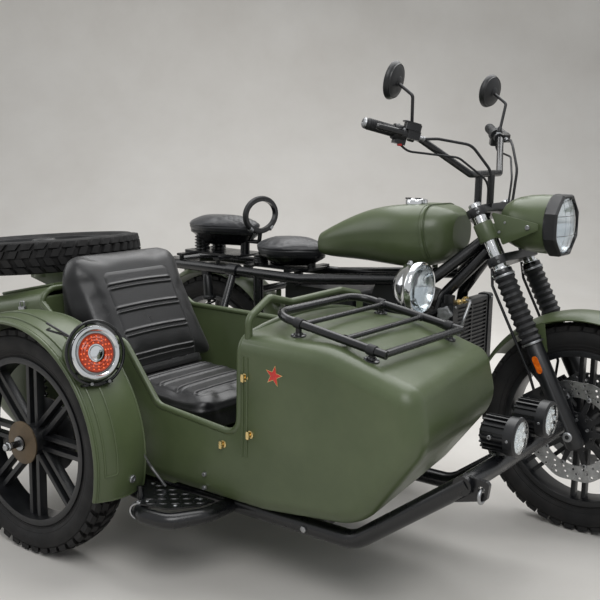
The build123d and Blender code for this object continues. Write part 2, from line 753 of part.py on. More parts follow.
def link_layer(first, reach):
    """Plates of every second link on both sides, from a distance off the chain's middle."""
    for hand in (1, -1):
        with BuildSketch(side(chain_side + hand * reach)) as plates:
            for k in range(first, link_count, 2):
                run = chain_pins[(k + 1) % link_count] - chain_pins[k]
                middle = chain_pins[k] + run / 2
                tip = (run.length + chain_thickness) / 2
                high = chain_thickness / 2
                corners = [(tip, link_chamfer - high), (tip, high - link_chamfer),
                           (tip - link_chamfer, high)]
                corners += [(-x, y) for x, y in reversed(corners)]
                corners += [(link_chamfer - tip, -high), (tip - link_chamfer, -high)]
                with Locations((middle.X, middle.Y)):
                    Polygon(*corners, rotation=degrees(atan2(run.Y, run.X)), align=None)
        extrude(plates.sketch, amount=-hand * link_plate)


with BuildPart() as drive_chain:
    with BuildSketch(side(chain_side)) as rollers:
        with Locations(*[(pin.X, pin.Y) for pin in chain_pins]):
            Circle(chain_thickness / 2 - 1)
    extrude(rollers.sketch, amount=roller_reach, both=True)
    link_layer(0, roller_reach)
    link_layer(1, roller_reach + link_plate)
parts["drive_chain"] = drive_chain

# Tail lamps, seated on the rear fender and on the sidecar's fender
with BuildPart() as tail_lamps:
    with BuildSketch(across(-290)):
        with Locations((0, 520)):
            RectangleRounded(96, 58, 14)
    extrude(amount=-86)
    ring(rear_hub, 0, rear_fender_radius + seat_gap, -120, 120, Mode.SUBTRACT)
    with BuildSketch(across(-6)):
        with Locations((side_wheel_y, 470)):
            Circle(34)
    extrude(amount=-84)
    ring(side_hub, 0, fender_radius + seat_gap, -120, 120, Mode.SUBTRACT)
parts["tail_lamps"] = tail_lamps

# Foot pegs on the cradle, with the gear and brake pedals
peg_x = 436
peg_height = 276
pedal_x = 640
with BuildPart() as foot_controls:
    for hand in (1, -1):
        wide = hand * frame_half_width
        rod(at(peg_x, wide, cradle_height + frame_radius), at(peg_x, wide, peg_height + 8), 10)
        rod(at(peg_x, wide - hand * 8, peg_height), at(peg_x, hand * 235, peg_height), 11)
        rod(at(peg_x, hand * 172, peg_height), at(pedal_x, hand * 190, 282), 6)
        rod(at(pedal_x, hand * 182, 282), at(pedal_x, hand * 232, 282), 9)
parts["foot_controls"] = foot_controls

# Round spot lamp on the right crash bar
spot_plane = Plane(origin=at(0, -300, 752), x_dir=(0, 1, 0), z_dir=(1, 0, 0))
with BuildPart() as spot_lamp:
    turned(spot_plane, [(0, 985), (30, 985), (62, 1012), (78, 1050), (82, 1058), (82, 1072), (76, 1078),
                        (50, 1084), (0, 1086)])
parts["spot_lamp"] = spot_lamp


tail_low = (-146, deck_height - 27)
tail_high = (160, deck_height + 43)


def tub_profile(grow, rise, setback):
    """Corners of the tub seen from the side, grown outwards and cut short in front."""
    front = nose_x - setback + grow
    return [(tail_x - grow, deck_height - 83), (tail_low[0], tail_low[1] + grow),
            (tail_high[0], tail_high[1] + grow), (deck_edge, deck_height + rise + grow),
            (1200 - setback * 0.6, deck_height + 2 + rise * 0.5 + grow),
            (front - 34, deck_height - 59 + grow * 0.5), (front, 500), (front - 176, 268 - grow * 0.6),
            (1010 - setback * 0.5, tub_bottom - grow), (20, tub_bottom - grow), (-110 - grow, 300)]


tub_corner_radii = (60, 40, 60, 30, 300, 60, 110, 150, 120, 90, 60)


def tub_sketch(y, grow, rise, setback):
    """One rounded side profile of the tub on its own plane."""
    points = tub_profile(grow, rise, setback)
    with BuildSketch(side(y)) as profile:
        with BuildLine():
            FilletPolyline(*points, radius=list(tub_corner_radii), close=True)
        make_face()
    return profile.sketch


# Hinge of the trunk lid, outside the tub's left wall and along the tail's slope
hinge_line = Vector(tail_high[0] - tail_low[0], 0, tail_high[1] - tail_low[1]).normalized()
hinge_out = 7
hinge_rise = 10
hinge_pin = 4
hinge_eye = 8
hinge_knuckle = 24
hinge_ear = 7
hinge_gap = 0.5
hinge_places = (60, 230)
hinge_foot = (-26, -29)
hinge_foot_size = 16


def hinge_plane(along):
    """Plane square to the lid's hinge pin: x to the left, y up."""
    foot = at(tail_low[0], tub_left + hinge_out, tail_low[1] + hinge_rise)
    return Plane(origin=foot + hinge_line * along, x_dir=(0, 1, 0), z_dir=hinge_line)


# Tub of the sidecar: a lofted shell, open over the seat and at the trunk
with BuildPart() as tub_form:
    loft([tub_sketch(tub_right, 0, 0, 0), tub_sketch(tub_mid, 0, deck_crown, nose_setback / 2),
          tub_sketch(tub_left, 0, 0, nose_setback)])
    for wall in (0, -1):
        fillet(tub_form.faces().sort_by(Axis.Y)[wall].edges(), tub_round)

with BuildPart() as tub_space:
    loft([tub_sketch(tub_right + tub_wall, -tub_wall, 0, 0),
          tub_sketch(tub_mid, -tub_wall, deck_crown, nose_setback / 2),
          tub_sketch(tub_left - tub_wall, -tub_wall, 0, nose_setback)])
    for wall in (0, -1):
        fillet(tub_space.faces().sort_by(Axis.Y)[wall].edges(), tub_round - tub_wall)

over_deck = deck_height + 205
sill = deck_height - 73
with BuildPart() as tub:
    add(tub_form.part)
    add(tub_space.part, mode=Mode.SUBTRACT)
    with BuildSketch(side(tub_mid)):
        with BuildLine():
            FilletPolyline((deck_edge, over_deck), (deck_edge, sill), (250, sill), (140, sill + 78),
                           (140, over_deck), radius=[1, 40, 80, 40, 1], close=True)
        make_face()
    extrude(amount=400, both=True, mode=Mode.SUBTRACT)
    with BuildSketch(side(tub_right)):
        with BuildLine():
            FilletPolyline((deck_edge, over_deck), (deck_edge, 430), (640, 458), (490, deck_height - 55),
                           (300, deck_height - 35), (140, deck_height + 35), (140, over_deck),
                           radius=[1, 60, 60, 60, 60, 20, 1], close=True)
        make_face()
    extrude(amount=tub_wall * 2, both=True, mode=Mode.SUBTRACT)
    with BuildSketch(level(deck_height - 95)):
        with Locations((-2, tub_mid)):
            RectangleRounded(190, 380, 24)
    extrude(amount=200, mode=Mode.SUBTRACT)
    slab(side(tub_mid), [(230, 240), (700, 240), (716, 352), (190, 352)], 274, 10, both=True)
    slab(side(tub_mid), [(196, 350), (206, 350), (146, deck_height + 11), (136, deck_height + 11)],
         274, both=True)
    for place in hinge_places:
        for ear in (-hinge_ear - hinge_gap, hinge_knuckle + hinge_gap):
            with BuildSketch(hinge_plane(place + ear)):
                Circle(hinge_eye)
                with Locations(hinge_foot):
                    Rectangle(hinge_foot_size, hinge_foot_size)
                make_hull()
            extrude(amount=hinge_ear)
        with BuildSketch(hinge_plane(place - hinge_ear - hinge_gap)):
            Circle(hinge_pin)
        extrude(amount=hinge_knuckle + 2 * (hinge_ear + hinge_gap))
parts["tub"] = tub

# Tubular chassis of the sidecar, and the places of its struts
rail_front = 1566
rail_nose_height = 436
cross_stations = (-60, 560, 1120)
hook_x = 1598
hook_height = 426
hook_hole = 9
hook_half = 6
rail_reach = chassis_right - 80
strut_radius = 15
clamp_half = 22
clamp_wall = 7
low_rail = (chassis_left, chassis_height)
down_tube = (at(1028, -70, 700) - at(975, -105, 420)).normalized()
struts = (
    # station on the rail, end on the motorcycle, direction of the tube there
    (990, at(860, -frame_half_width, cradle_height), Vector(1, 0, 0)),
    (150, at(480, -frame_half_width, cradle_height), Vector(1, 0, 0)),
    (230, at(170, -frame_half_width, loop_height), Vector(1, 0, 0)),
    (1060, at(1008.4, -82.5, 600), down_tube),
)
with BuildPart() as sidecar_chassis:
    for rail in (chassis_right, chassis_left):
        tube([at(-84, rail, chassis_height), at(1262, rail, chassis_height),
              at(rail_front, rail, rail_nose_height)], chassis_radius, 100)
    for station in cross_stations:
        outer = chassis_right if station == cross_stations[-1] else rail_reach
        rod(at(station, outer, chassis_height), at(station, chassis_left, chassis_height),
            chassis_radius - 1)
    rod(at(rail_front - 10, chassis_right - 20, rail_nose_height - 6),
        at(rail_front - 10, chassis_left + 20, rail_nose_height - 6), chassis_radius - 1)
    slab(side(chassis_right), [(1512, 376), (1612, 404), (1618, 448), (1560, 452)],
         hook_half, 10, both=True)
    rod(at(hook_x, chassis_right - 2 * hook_half, hook_height),
        at(hook_x, chassis_right + 2 * hook_half, hook_height), hook_hole, Mode.SUBTRACT)
parts["sidecar_chassis"] = sidecar_chassis

# Struts from the left rail to the motorcycle, clamped round the tubes at both ends
with BuildPart() as sidecar_struts:
    for station, end, along in struts:
        rod(at(station, *low_rail), end, strut_radius)
        rod(end - along * clamp_half, end + along * clamp_half, frame_radius + clamp_wall)
        rod(at(station - clamp_half, *low_rail), at(station + clamp_half, *low_rail),
            chassis_radius + clamp_wall)
    for station, end, along in struts:
        rod(end - along * 3 * clamp_half, end + along * 3 * clamp_half, frame_radius + seat_gap,
            Mode.SUBTRACT)
    rod(at(0, *low_rail), at(cross_stations[-1], *low_rail), chassis_radius + seat_gap, Mode.SUBTRACT)
parts["sidecar_struts"] = sidecar_struts

# Trailing arm of the sidecar wheel with its stub axle, and the pivot it swings on
arm_half = 11
arm_pivot = cross_stations[0]
with BuildPart() as sidecar_arm:
    slab(side(arm_side), [(-84, 196), (-40, 186), (60, 210), (side_wheel_x + 30, 300),
                          (side_wheel_x + 30, 356), (side_wheel_x - 40, 356), (-40, 240), (-84, 228)],
         arm_half, 10, both=True)
    rod(at(arm_pivot, arm_side - arm_half - 6, chassis_height),
        at(arm_pivot, rail_reach - seat_gap, chassis_height), 20)
    rod(at(side_wheel_x, arm_side, wheel_radius), at(side_wheel_x, side_wheel_y - 92, wheel_radius),
        axle_radius)
    rod(at(side_wheel_x, arm_side - arm_half, wheel_radius),
        at(side_wheel_x, side_wheel_y + side_hub_half + 12, wheel_radius), 24)
parts["sidecar_arm"] = sidecar_arm

# Sidecar fender with a rolled outer lip, and the nacelle behind its lamp
fender_end = 13
side_lamp = Plane(origin=at(600, -1185, 634), x_dir=(0.2, 1, 0), z_dir=(0.95, -0.2, 0.24))
with BuildPart() as sidecar_fender:
    turned(side_lamp, [(0, -130), (34, -112), (62, -66), (76, -12), (0, -12)])
    ring(side_hub, 0, fender_radius - fender_wall, -120, 120, Mode.SUBTRACT)
    arch(side_hub, fender_radius, fender_half_width, fender_wall, -fender_end, 180 + fender_end, 20)
    lip_start = Plane(side_hub.origin, x_dir=(cos(radians(fender_end)), 0, -sin(radians(fender_end))),
                      z_dir=(sin(radians(fender_end)), 0, cos(radians(fender_end))))
    with BuildSketch(lip_start):
        with Locations((fender_radius - 22, -fender_half_width)):
            Circle(6)
    revolve(axis=Axis(side_hub.origin, (0, -1, 0)), revolution_arc=180 + 2 * fender_end)
    tube([at(arm_pivot, arm_side - arm_half - 6 - seat_gap, chassis_height),
          at(arm_pivot, -1075, chassis_height), at(arm_pivot + 10, -1084, 258)], 9, 14)
parts["sidecar_fender"] = sidecar_fender

# Front lamp of the sidecar on its nacelle
with BuildPart() as fender_lamp:
    turned(side_lamp, [(0, seat_gap - 12), (78, seat_gap - 12), (82, -4), (82, 8), (74, 12),
                       (70, 6), (34, 12), (0, 14)])
parts["fender_lamp"] = fender_lamp

# Step: a bent tube round the front of the sidecar wheel, with a tread plate
step_radius = 21
with BuildPart() as step_board:
    tube([at(560, rail_reach - seat_gap, 209), at(560, -1036, 209), at(640, -1040, 209),
          at(686, -1104, 209), at(712, -1152, 206), at(800, -1128, 200), at(866, -1040, 208),
          at(866, chassis_right - chassis_radius - seat_gap, 208)], step_radius, 22)
    slab(level(230), [(600, -1002), (856, -1002), (850, -1050), (800, -1122), (716, -1144), (690, -1100),
                      (640, -1050)], 4, 8)
    rod(at(686, -1104, 216), at(676, -1104, 262), 8)
    ring(side_hub, 0, fender_radius - 3, -120, 120, Mode.SUBTRACT)
parts["step_board"] = step_board

# Cushion and back of the sidecar's seat
seat_top = 468
with BuildPart() as seat_cushion:
    slab(side(tub_mid), [(216, 352 + seat_gap), (728, 352 + seat_gap), (744, seat_top),
                         (230, seat_top)], 208, 26, both=True)
parts["seat_cushion"] = seat_cushion

back_top = 842
back_half = 246
with BuildPart() as seat_back:
    with BuildSketch(side(tub_mid)):
        with BuildLine():
            FilletPolyline((192, seat_top + seat_gap), (426, seat_top + seat_gap), (222, back_top),
                           (152, back_top), (152, 712), radius=[12, 40, 34, 24, 60], close=True)
        make_face()
    extrude(amount=back_half, both=True)
    with BuildSketch(across(100)):
        with Locations((tub_mid, back_top - 250)):
            RectangleRounded(2 * back_half, 500, 92)
        with Locations((tub_mid, seat_top)):
            Rectangle(2 * back_half, 300)
    extrude(amount=400, mode=Mode.INTERSECT)
parts["seat_back"] = seat_back

# Grab rail that arches over the rear edge of the nose deck
with BuildPart() as grab_rail:
    hoop = deck_edge + 12
    rail_edge = 24
    rail_corners = (
        # side, height above the deck
        (tub_right + rail_edge, -35), (tub_right + rail_edge, 47), (-892, 91), (-800, 67),
        (-560, 71), (tub_left - rail_edge, 47), (tub_left - rail_edge, -35),
    )
    tube([at(hoop, y, deck_height + rise) for y, rise in rail_corners], rim_bead + 1, 26)
    add(tub_form.part, mode=Mode.SUBTRACT)
parts["grab_rail"] = grab_rail

# Luggage rack on the nose deck
rack_right = -925
rack_left = -530
rack_rear = 985
rack_front = 1332
rack_height = deck_height + 57
rack_slope = -0.165


def rack_point(x, y):
    """Point on the middle of the rack's tubes."""
    return at(x, y, rack_height + rack_slope * (x - rack_rear))


with BuildPart() as nose_rack:
    tube([rack_point(rack_front, rack_right), rack_point(rack_rear, rack_right),
          rack_point(rack_rear, rack_left), rack_point(rack_front, rack_left)], 11, 60)
    rod(rack_point(rack_front - 8, rack_right), rack_point(rack_front - 8, rack_left), 10)
    for station in (1080, 1205):
        rod(rack_point(station, rack_right), rack_point(station, rack_left), 7)
    for station in (1070, 1290):
        for place in (rack_right, rack_left):
            top = rack_point(station, place)
            rod(Vector(top.X, top.Y, deck_height - 95), top, 8)
    add(tub_form.part, mode=Mode.SUBTRACT)
    split(bisect_by=Plane(origin=at(0, 0, deck_height - 55), z_dir=(0, 0, 1)), keep=Keep.TOP)
parts["nose_rack"] = nose_rack

# Fog lamps on the chassis' front tube: a barrel with fins along it, and a bezel
fog_height = rail_nose_height + chassis_radius + 44
fog_rear = 1512
fog_bezel = 1576
fog_front = 1608
fog_barrel = 37
fog_radius = 48
fog_fins = 18
with BuildPart() as fog_lamps:
    for place in (-750, -560):
        body = Plane(origin=at(0, place, fog_height), x_dir=(0, 1, 0), z_dir=(1, 0, 0))
        turned(body, [(0, fog_rear), (fog_barrel - 8, fog_rear), (fog_barrel, fog_rear + 8),
                      (fog_barrel, fog_bezel), (fog_radius, fog_bezel + 4), (fog_radius, fog_front - 4),
                      (fog_radius - 4, fog_front), (fog_radius - 8, fog_front),
                      (fog_radius - 10, fog_front - 6), (0, fog_front - 2)])
        with BuildSketch(body.offset(fog_rear + 6)):
            with PolarLocations(fog_barrel + 2, fog_fins):
                Rectangle(12, 4)
        extrude(amount=fog_bezel - fog_rear)
        rod(at(rail_front - 10, place, rail_nose_height - 6 + chassis_radius - 1),
            at(rail_front - 10, place, fog_height - 30), 13)
parts["fog_lamps"] = fog_lamps

# Trunk lid on the tail, hinged along its left edge, with the spare wheel on it
tilt = radians(spare_tilt)
spare_hub = Plane(origin=at(spare_x, tub_mid, spare_height), x_dir=(cos(tilt), 0, sin(tilt)),
                  z_dir=(-sin(tilt), 0, cos(tilt)))
lid_half = 215
with BuildPart() as trunk_lid:
    slab(side(tub_mid), [(-138, tail_low[1] + 2.2), (126, tail_high[1] - 7.4), (124, tail_high[1] + 2),
                         (-140, tail_low[1] + 12)], lid_half, both=True)
    slab(side(tub_mid), [(-120, tail_low[1] + 10), (30, tail_low[1] + 44), (10, tail_low[1] + 62),
                         (-150, tail_low[1] + 68), (-232, tail_low[1] + 62), (-232, tail_low[1] + 34)],
         30, both=True)
    ring(spare_hub, 0, 44, -84, -side_hub_half - seat_gap)
    for place in hinge_places:
        with BuildSketch(hinge_plane(place)):
            Circle(hinge_eye)
            with Locations((-(tub_left - tub_mid - lid_half + hinge_out + 12) / 2, -5)):
                Rectangle(tub_left - tub_mid - lid_half + hinge_out + 12, 8)
            Circle(hinge_pin + bore_clearance, mode=Mode.SUBTRACT)
        extrude(amount=hinge_knuckle)
parts["trunk_lid"] = trunk_lid

parts["spare_tyre"] = tyre(spare_hub)
parts["spare_wheel"] = cast_wheel(spare_hub, side_hub_half, axle_radius + bore_clearance)

os.makedirs("parts", exist_ok=True)
for name, piece in parts.items():
    piece.part.label = name
    export_step(piece.part, f"parts/{name}.step")
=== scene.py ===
# %% [markdown]
# # A motorcycle with its sidecar
# The real machine is a steel and aluminium motorcycle with a one-seat sidecar on
# its right. Its frame, wheels and joints come from the CAD model; this notebook
# dresses them. A measure is written as in a workshop: millimetres forward of the
# rear axle, left of the motorcycle's middle and above the ground.

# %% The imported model
import bpy
import bmesh
from math import acos, cos, exp, hypot, pi, radians, sin, sqrt
from mathutils import Matrix, Vector
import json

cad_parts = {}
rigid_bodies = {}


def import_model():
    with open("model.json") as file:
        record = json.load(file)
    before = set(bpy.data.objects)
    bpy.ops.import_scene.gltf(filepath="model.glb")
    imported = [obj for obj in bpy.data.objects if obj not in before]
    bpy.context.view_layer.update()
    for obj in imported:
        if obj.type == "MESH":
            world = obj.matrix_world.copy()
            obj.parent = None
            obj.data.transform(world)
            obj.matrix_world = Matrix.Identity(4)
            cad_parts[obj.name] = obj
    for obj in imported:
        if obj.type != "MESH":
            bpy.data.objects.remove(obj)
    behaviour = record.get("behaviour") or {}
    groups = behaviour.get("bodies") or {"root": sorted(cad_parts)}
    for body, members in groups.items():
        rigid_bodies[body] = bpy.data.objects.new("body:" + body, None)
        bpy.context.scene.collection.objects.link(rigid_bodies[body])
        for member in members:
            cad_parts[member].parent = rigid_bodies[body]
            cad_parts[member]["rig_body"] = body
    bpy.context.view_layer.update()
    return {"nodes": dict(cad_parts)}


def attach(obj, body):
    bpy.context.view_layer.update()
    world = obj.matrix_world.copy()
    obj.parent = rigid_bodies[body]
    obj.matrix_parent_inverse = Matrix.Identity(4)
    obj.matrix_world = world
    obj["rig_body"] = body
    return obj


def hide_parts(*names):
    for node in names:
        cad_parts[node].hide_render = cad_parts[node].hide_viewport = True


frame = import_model()

# %% [markdown]
# One function turns workshop millimetres into the frame's metres, so that each
# piece below can be read against a tape measure.

# %% Places
rear_axle = -0.670
bike_middle = 0.418


def place(x, y, z):
    """Point in the frame, from millimetres forward, left and up."""
    return Vector((x / 1000 + rear_axle, y / 1000 + bike_middle, z / 1000))


wheel_radius = 330
wheelbase = 1500
tub_mid = -715
leg_side = 110
front_hub = place(wheelbase, 0, wheel_radius)
rear_hub = place(0, 0, wheel_radius)
side_hub = place(305, -1153, wheel_radius)
spare_hub = place(-190, tub_mid, 790)
rake = radians(28)
fork_up = Vector((-sin(rake), 0, cos(rake)))
fork_ahead = Vector((cos(rake), 0, sin(rake)))
spare_tilt = radians(5)
spare_up = Vector((-sin(spare_tilt), 0, cos(spare_tilt)))
ahead_way = Vector((1, 0, 0))
rear_way = Vector((-1, 0, 0))
left_way = Vector((0, 1, 0))
right_way = Vector((0, -1, 0))
up_way = Vector((0, 0, 1))
print("hubs", [tuple(round(v, 3) for v in hub) for hub in (front_hub, rear_hub, side_hub, spare_hub)])

# %% [markdown]
# The photograph was taken standing, a little ahead and to the right. The camera
# has that place, and a focal length that gives the same width of view.

# %% Camera
eye = place(2462, -2810, 1207)
turn, dip, roll = radians(36.4), radians(9.9), radians(1.11)
look = Vector((-sin(turn) * cos(dip), cos(turn) * cos(dip), -sin(dip)))
level = Vector((cos(turn), sin(turn), 0))
upright = level.cross(look)
across = level * cos(roll) + upright * sin(roll)
above = upright * cos(roll) - level * sin(roll)
lens = bpy.data.cameras.new("camera")
lens.sensor_width = 36
lens.lens = 56.57
camera = bpy.data.objects.new("camera", lens)
camera.matrix_world = Matrix.Translation(eye) @ Matrix((across, above, -look)).transposed().to_4x4()
bpy.context.scene.collection.objects.link(camera)
bpy.context.scene.camera = camera
print("camera at", tuple(round(v, 3) for v in eye), "lens", lens.lens)

# %% [markdown]
# Daylight under a canopy is soft and comes mostly from above and in front. Three
# large area lamps and a pale world give that. The world shows white to the
# camera and to reflections, so that chrome mirrors a bright room.

# %% Light and world
scene = bpy.context.scene
scene.view_settings.view_transform = "Standard"
world = bpy.data.worlds.new("pale room")
world.use_nodes = True
sky = world.node_tree.nodes["Background"]
sky.inputs["Color"].default_value = (0.80, 0.83, 0.86, 1)
sky.inputs["Strength"].default_value = 0.42
scene.world = world


def lamp(name, where, target, size, power):
    """A square soft lamp that faces a point."""
    light = bpy.data.lights.new(name, "AREA")
    light.size = size
    light.energy = power
    holder = bpy.data.objects.new(name, light)
    holder.location = where
    holder.rotation_euler = (Vector(target) - Vector(where)).to_track_quat("-Z", "Y").to_euler()
    scene.collection.objects.link(holder)


lamp("key lamp", (2.2, -3.0, 3.9), (0, -0.2, 0.4), 2.4, 92)
lamp("fill lamp", (-3.4, -1.8, 2.6), (-0.2, 0, 0.4), 2.8, 36)
lamp("top lamp", (-0.2, 1.4, 4.0), (0, -0.2, 0.3), 4.4, 190)

# %% [markdown]
# ## Materials
# A colour is written as it shows on a screen, in hexadecimal sRGB, and turned to
# the linear values that the renderer works in. One more function adds a shader
# node with its settings and links. A finish is made of its shader's own values,
# two shades that wander into each other, a range of roughness and a fine relief.

# %% Colour and node helpers


def colour(code):
    """Linear colour from a hexadecimal sRGB code."""
    parts = [int(code[i:i + 2], 16) / 255 for i in (1, 3, 5)]
    return tuple(p / 12.92 if p <= 0.04045 else ((p + 0.055) / 1.055) ** 2.4 for p in parts) + (1,)


def add_node(material, kind, **sockets):
    """Adds a node; a socket's value is a number, a colour or another node's output."""
    made = material.node_tree.nodes.new("ShaderNode" + kind)
    for key, value in sockets.items():
        socket = made.inputs[key.replace("_", " ")]
        if isinstance(value, bpy.types.NodeSocket):
            material.node_tree.links.new(value, socket)
        else:
            socket.default_value = value
    return made


def field(material, kind, scale, **sockets):
    """A noise over the piece's own coordinates, its scale in waves per metre."""
    where = add_node(material, "TexCoord")
    return add_node(material, kind, Vector=where.outputs["Object"], Scale=scale, **sockets)


def speckle(material, first, second, scale, low=0.3, high=0.7):
    """Colour that wanders between two shades, as dust and fading make it."""
    cloud = field(material, "TexNoise", scale, Detail=6, Roughness=0.62)
    blend = add_node(material, "ValToRGB", Fac=cloud.outputs["Fac"])
    for stop, position, code in zip(blend.color_ramp.elements, (low, high), (first, second)):
        stop.position = position
        stop.color = colour(code)
    return blend.outputs["Color"]


def roughen(material, low, high, scale):
    """Roughness that varies a little, as handling and dust leave it."""
    cloud = field(material, "TexNoise", scale, Detail=5)
    return add_node(material, "MapRange", Value=cloud.outputs["Fac"], From_Min=0.3, From_Max=0.7,
                    To_Min=low, To_Max=high).outputs["Result"]


def grain(material, scale, depth, kind="TexNoise"):
    """Fine relief of a surface, its depth in metres: a noise, or the cells of TexVoronoi."""
    if kind == "TexNoise":
        height = field(material, kind, scale, Detail=3).outputs["Fac"]
    else:
        height = field(material, kind, scale).outputs["Distance"]
    return add_node(material, "Bump", Height=height, Distance=depth, Strength=0.6).outputs["Normal"]


def new_finish(name, sockets, shades=None, rough=None, relief=None):
    """A material from its shader's own values, two wandering shades, a roughness range and a fine relief."""
    material = bpy.data.materials.new(name)
    material.use_nodes = True
    shader = material.node_tree.nodes["Principled BSDF"]
    for key, value in sockets.items():
        shader.inputs[key].default_value = value
    for make, numbers, socket in ((speckle, shades, "Base Color"), (roughen, rough, "Roughness"),
                                  (grain, relief, "Normal")):
        if numbers:
            material.node_tree.links.new(make(material, *numbers), shader.inputs[socket])
    return material


# %% [markdown]
# **Army green paint.** Two-pack polyurethane with a matting agent, sprayed on
# pressed steel. It gives the eye a broad dull highlight, a faint orange peel of
# about 2 mm, and a little pale dust in the hollows.
#
# **Black powder coat.** The tubes and brackets are coated with polyester powder
# and baked. It is a little glossier than the green paint, with a fine pebble.
#
# **Painted castings.** Engine cases and wheels are cast aluminium under black
# enamel. The sand or die leaves a slightly uneven skin that breaks the light.

# %% Paints
green_paint = new_finish("matt green polyurethane on steel",
                         {"IOR": 1.5, "Specular IOR Level": 0.5},
                         ("#434e33", "#505b3e", 5, 0.3, 0.72), (0.3, 0.4, 9), (420, 0.0001))
black_coat = new_finish("satin black powder coat", {"IOR": 1.5},
                        ("#0b0c0e", "#131417", 14, 0.35), (0.2, 0.32, 16), (900, 0.00004))
cast_black = new_finish("black enamel on cast aluminium", {"IOR": 1.5},
                        ("#0d0e10", "#17181b", 22, 0.35), (0.32, 0.46, 18), (520, 0.00025))

# %% [markdown]
# **Bare metals.** Chrome is nearly a mirror. Ground steel on the brake discs is
# duller, and blasted aluminium is darker and duller again.

# %% Bare metals
chrome = new_finish("polished chrome plate", {"Metallic": 1, "Base Color": colour("#d4d6d8")},
                    rough=(0.05, 0.1, 8))
ground_steel = new_finish("ground stainless steel", {"Metallic": 1},
                          ("#9a9b9c", "#bcbdbe", 40), (0.24, 0.38, 60))
cast_aluminium = new_finish("bead-blasted aluminium", {"Metallic": 1},
                            ("#8e8f91", "#a9abad", 30), (0.34, 0.46, 50), (1100, 0.0001))
brass = new_finish("lacquered brass", {"Metallic": 1, "Base Color": colour("#dcc38a")},
                   rough=(0.2, 0.34, 40))
bronze_cast = new_finish("tan sealed iron casting", {"Metallic": 0.35},
                         ("#4c4030", "#655540", 30), (0.45, 0.6, 30))
burnt_steel = new_finish("heat-proof black on steel", {"Metallic": 0.2},
                         ("#151413", "#2a2724", 16, 0.35, 0.75), (0.42, 0.6, 20))
chain_steel = new_finish("oiled chain steel", {"Metallic": 1},
                         ("#4a4641", "#8b8780", 60), (0.28, 0.45, 60))

# %% [markdown]
# **Rubbers.** Tyre tread is dull black with road dust; moulded rubber on the
# gaiters and grips is smoother and a little bluer.
#
# **Leathers.** The sidecar's seat is black coated leather with a pebble grain of
# about 2 mm; a Voronoi field gives its cells. The saddles are greyer and duller.

# %% Rubbers and leathers
tyre_rubber = new_finish("dusty tyre rubber", {"IOR": 1.52, "Specular IOR Level": 0.35},
                         ("#0f0f10", "#211f1e", 12, 0.4, 0.8), (0.66, 0.84, 20), (700, 0.0002))
soft_rubber = new_finish("moulded black rubber", {"IOR": 1.52, "Specular IOR Level": 0.4},
                         ("#0e0f11", "#18191c", 18, 0.35), (0.5, 0.66, 20), (1300, 0.0001))
seat_leather = new_finish("black coated leather", {"IOR": 1.48, "Sheen Weight": 0.08},
                          ("#0c0c0e", "#151517", 12), (0.27, 0.4, 10), (430, 0.0004, "TexVoronoi"))
saddle_leather = new_finish("dark grey waxed leather",
                            {"IOR": 1.48, "Sheen Weight": 0.12},
                            ("#131417", "#212226", 14), (0.3, 0.42, 12), (480, 0.00035, "TexVoronoi"))

# %% [markdown]
# **Lamps.** Clear lenses are polycarbonate, IOR about 1.58. The orange ring of
# the sidecar's lamp is a light guide that shows its dye; it glows a little.

# %% Glass, lenses and plastics
clear_lens = new_finish("clear polycarbonate", {
    "Transmission Weight": 1, "Roughness": 0.03, "IOR": 1.58, "Base Color": colour("#f4f8fa")},
    relief=(160, 0.00015))
red_lens = new_finish("red acrylic lens", {
    "Transmission Weight": 0.25, "Roughness": 0.12, "IOR": 1.49}, ("#8e0f10", "#b3201b", 30))
amber_guide = new_finish("orange light guide", {
    "Roughness": 0.2, "Emission Color": colour("#c83a18"), "Emission Strength": 0.05},
    ("#8f2c18", "#b04423", 60))
lit_dots = new_finish("orange light-emitting diodes", {
    "Roughness": 0.2, "Emission Color": colour("#ff6a3c"), "Emission Strength": 0.3},
    ("#e05a34", "#f08050", 60))
amber_lens = new_finish("orange reflector prism", {"Roughness": 0.16, "IOR": 1.49},
                        ("#c8520f", "#e87a22", 90), relief=(520, 0.0005, "TexVoronoi"))
reflector = new_finish("aluminised reflector",
                       {"Metallic": 1, "Base Color": colour("#dfe3e6")}, rough=(0.08, 0.16, 30))
mirror_glass = new_finish("silvered glass",
                          {"Metallic": 1, "Base Color": colour("#e3e7ea")}, rough=(0.02, 0.04, 6))
black_plastic = new_finish("grained black ABS", {"IOR": 1.5},
                           ("#0d0e10", "#17181b", 18), (0.34, 0.48, 22), (950, 0.00015))
red_enamel = new_finish("red stove enamel", {"IOR": 1.5, "Coat Weight": 0.3},
                        ("#b01712", "#cc2b1e", 30), (0.2, 0.32, 30))
red_button = new_finish("red switch plastic", {"IOR": 1.5},
                        ("#9c1310", "#bb2019", 90), (0.3, 0.45, 60))
floor_finish = new_finish("pale honed stone", {"IOR": 1.5},
                          ("#cfcbc5", "#dad7d2", 1.2), (0.5, 0.62, 3))
print(len(bpy.data.materials), "materials")

# %% [markdown]
# ## Making the pieces
# A CAD part that already has its real shape keeps it and only gets its finish.
# Where pressed sheet or a casting needs soft edges, the piece is a copy of the
# CAD mesh with every sharp edge rounded. The rest is made in mesh code from
# three workshop forms: what is turned on a lathe, what is bent from tube, and
# what is cut from plate.

# %% Keeping a piece


def mesh_of(name, form):
    """Turns mesh code into a mesh and frees it."""
    mesh = bpy.data.meshes.new(name)
    form.to_mesh(mesh)
    form.free()
    return mesh


def new_object(name, data):
    """An object of a mesh or curve in the scene."""
    made = bpy.data.objects.new(name, data)
    scene.collection.objects.link(made)
    return made


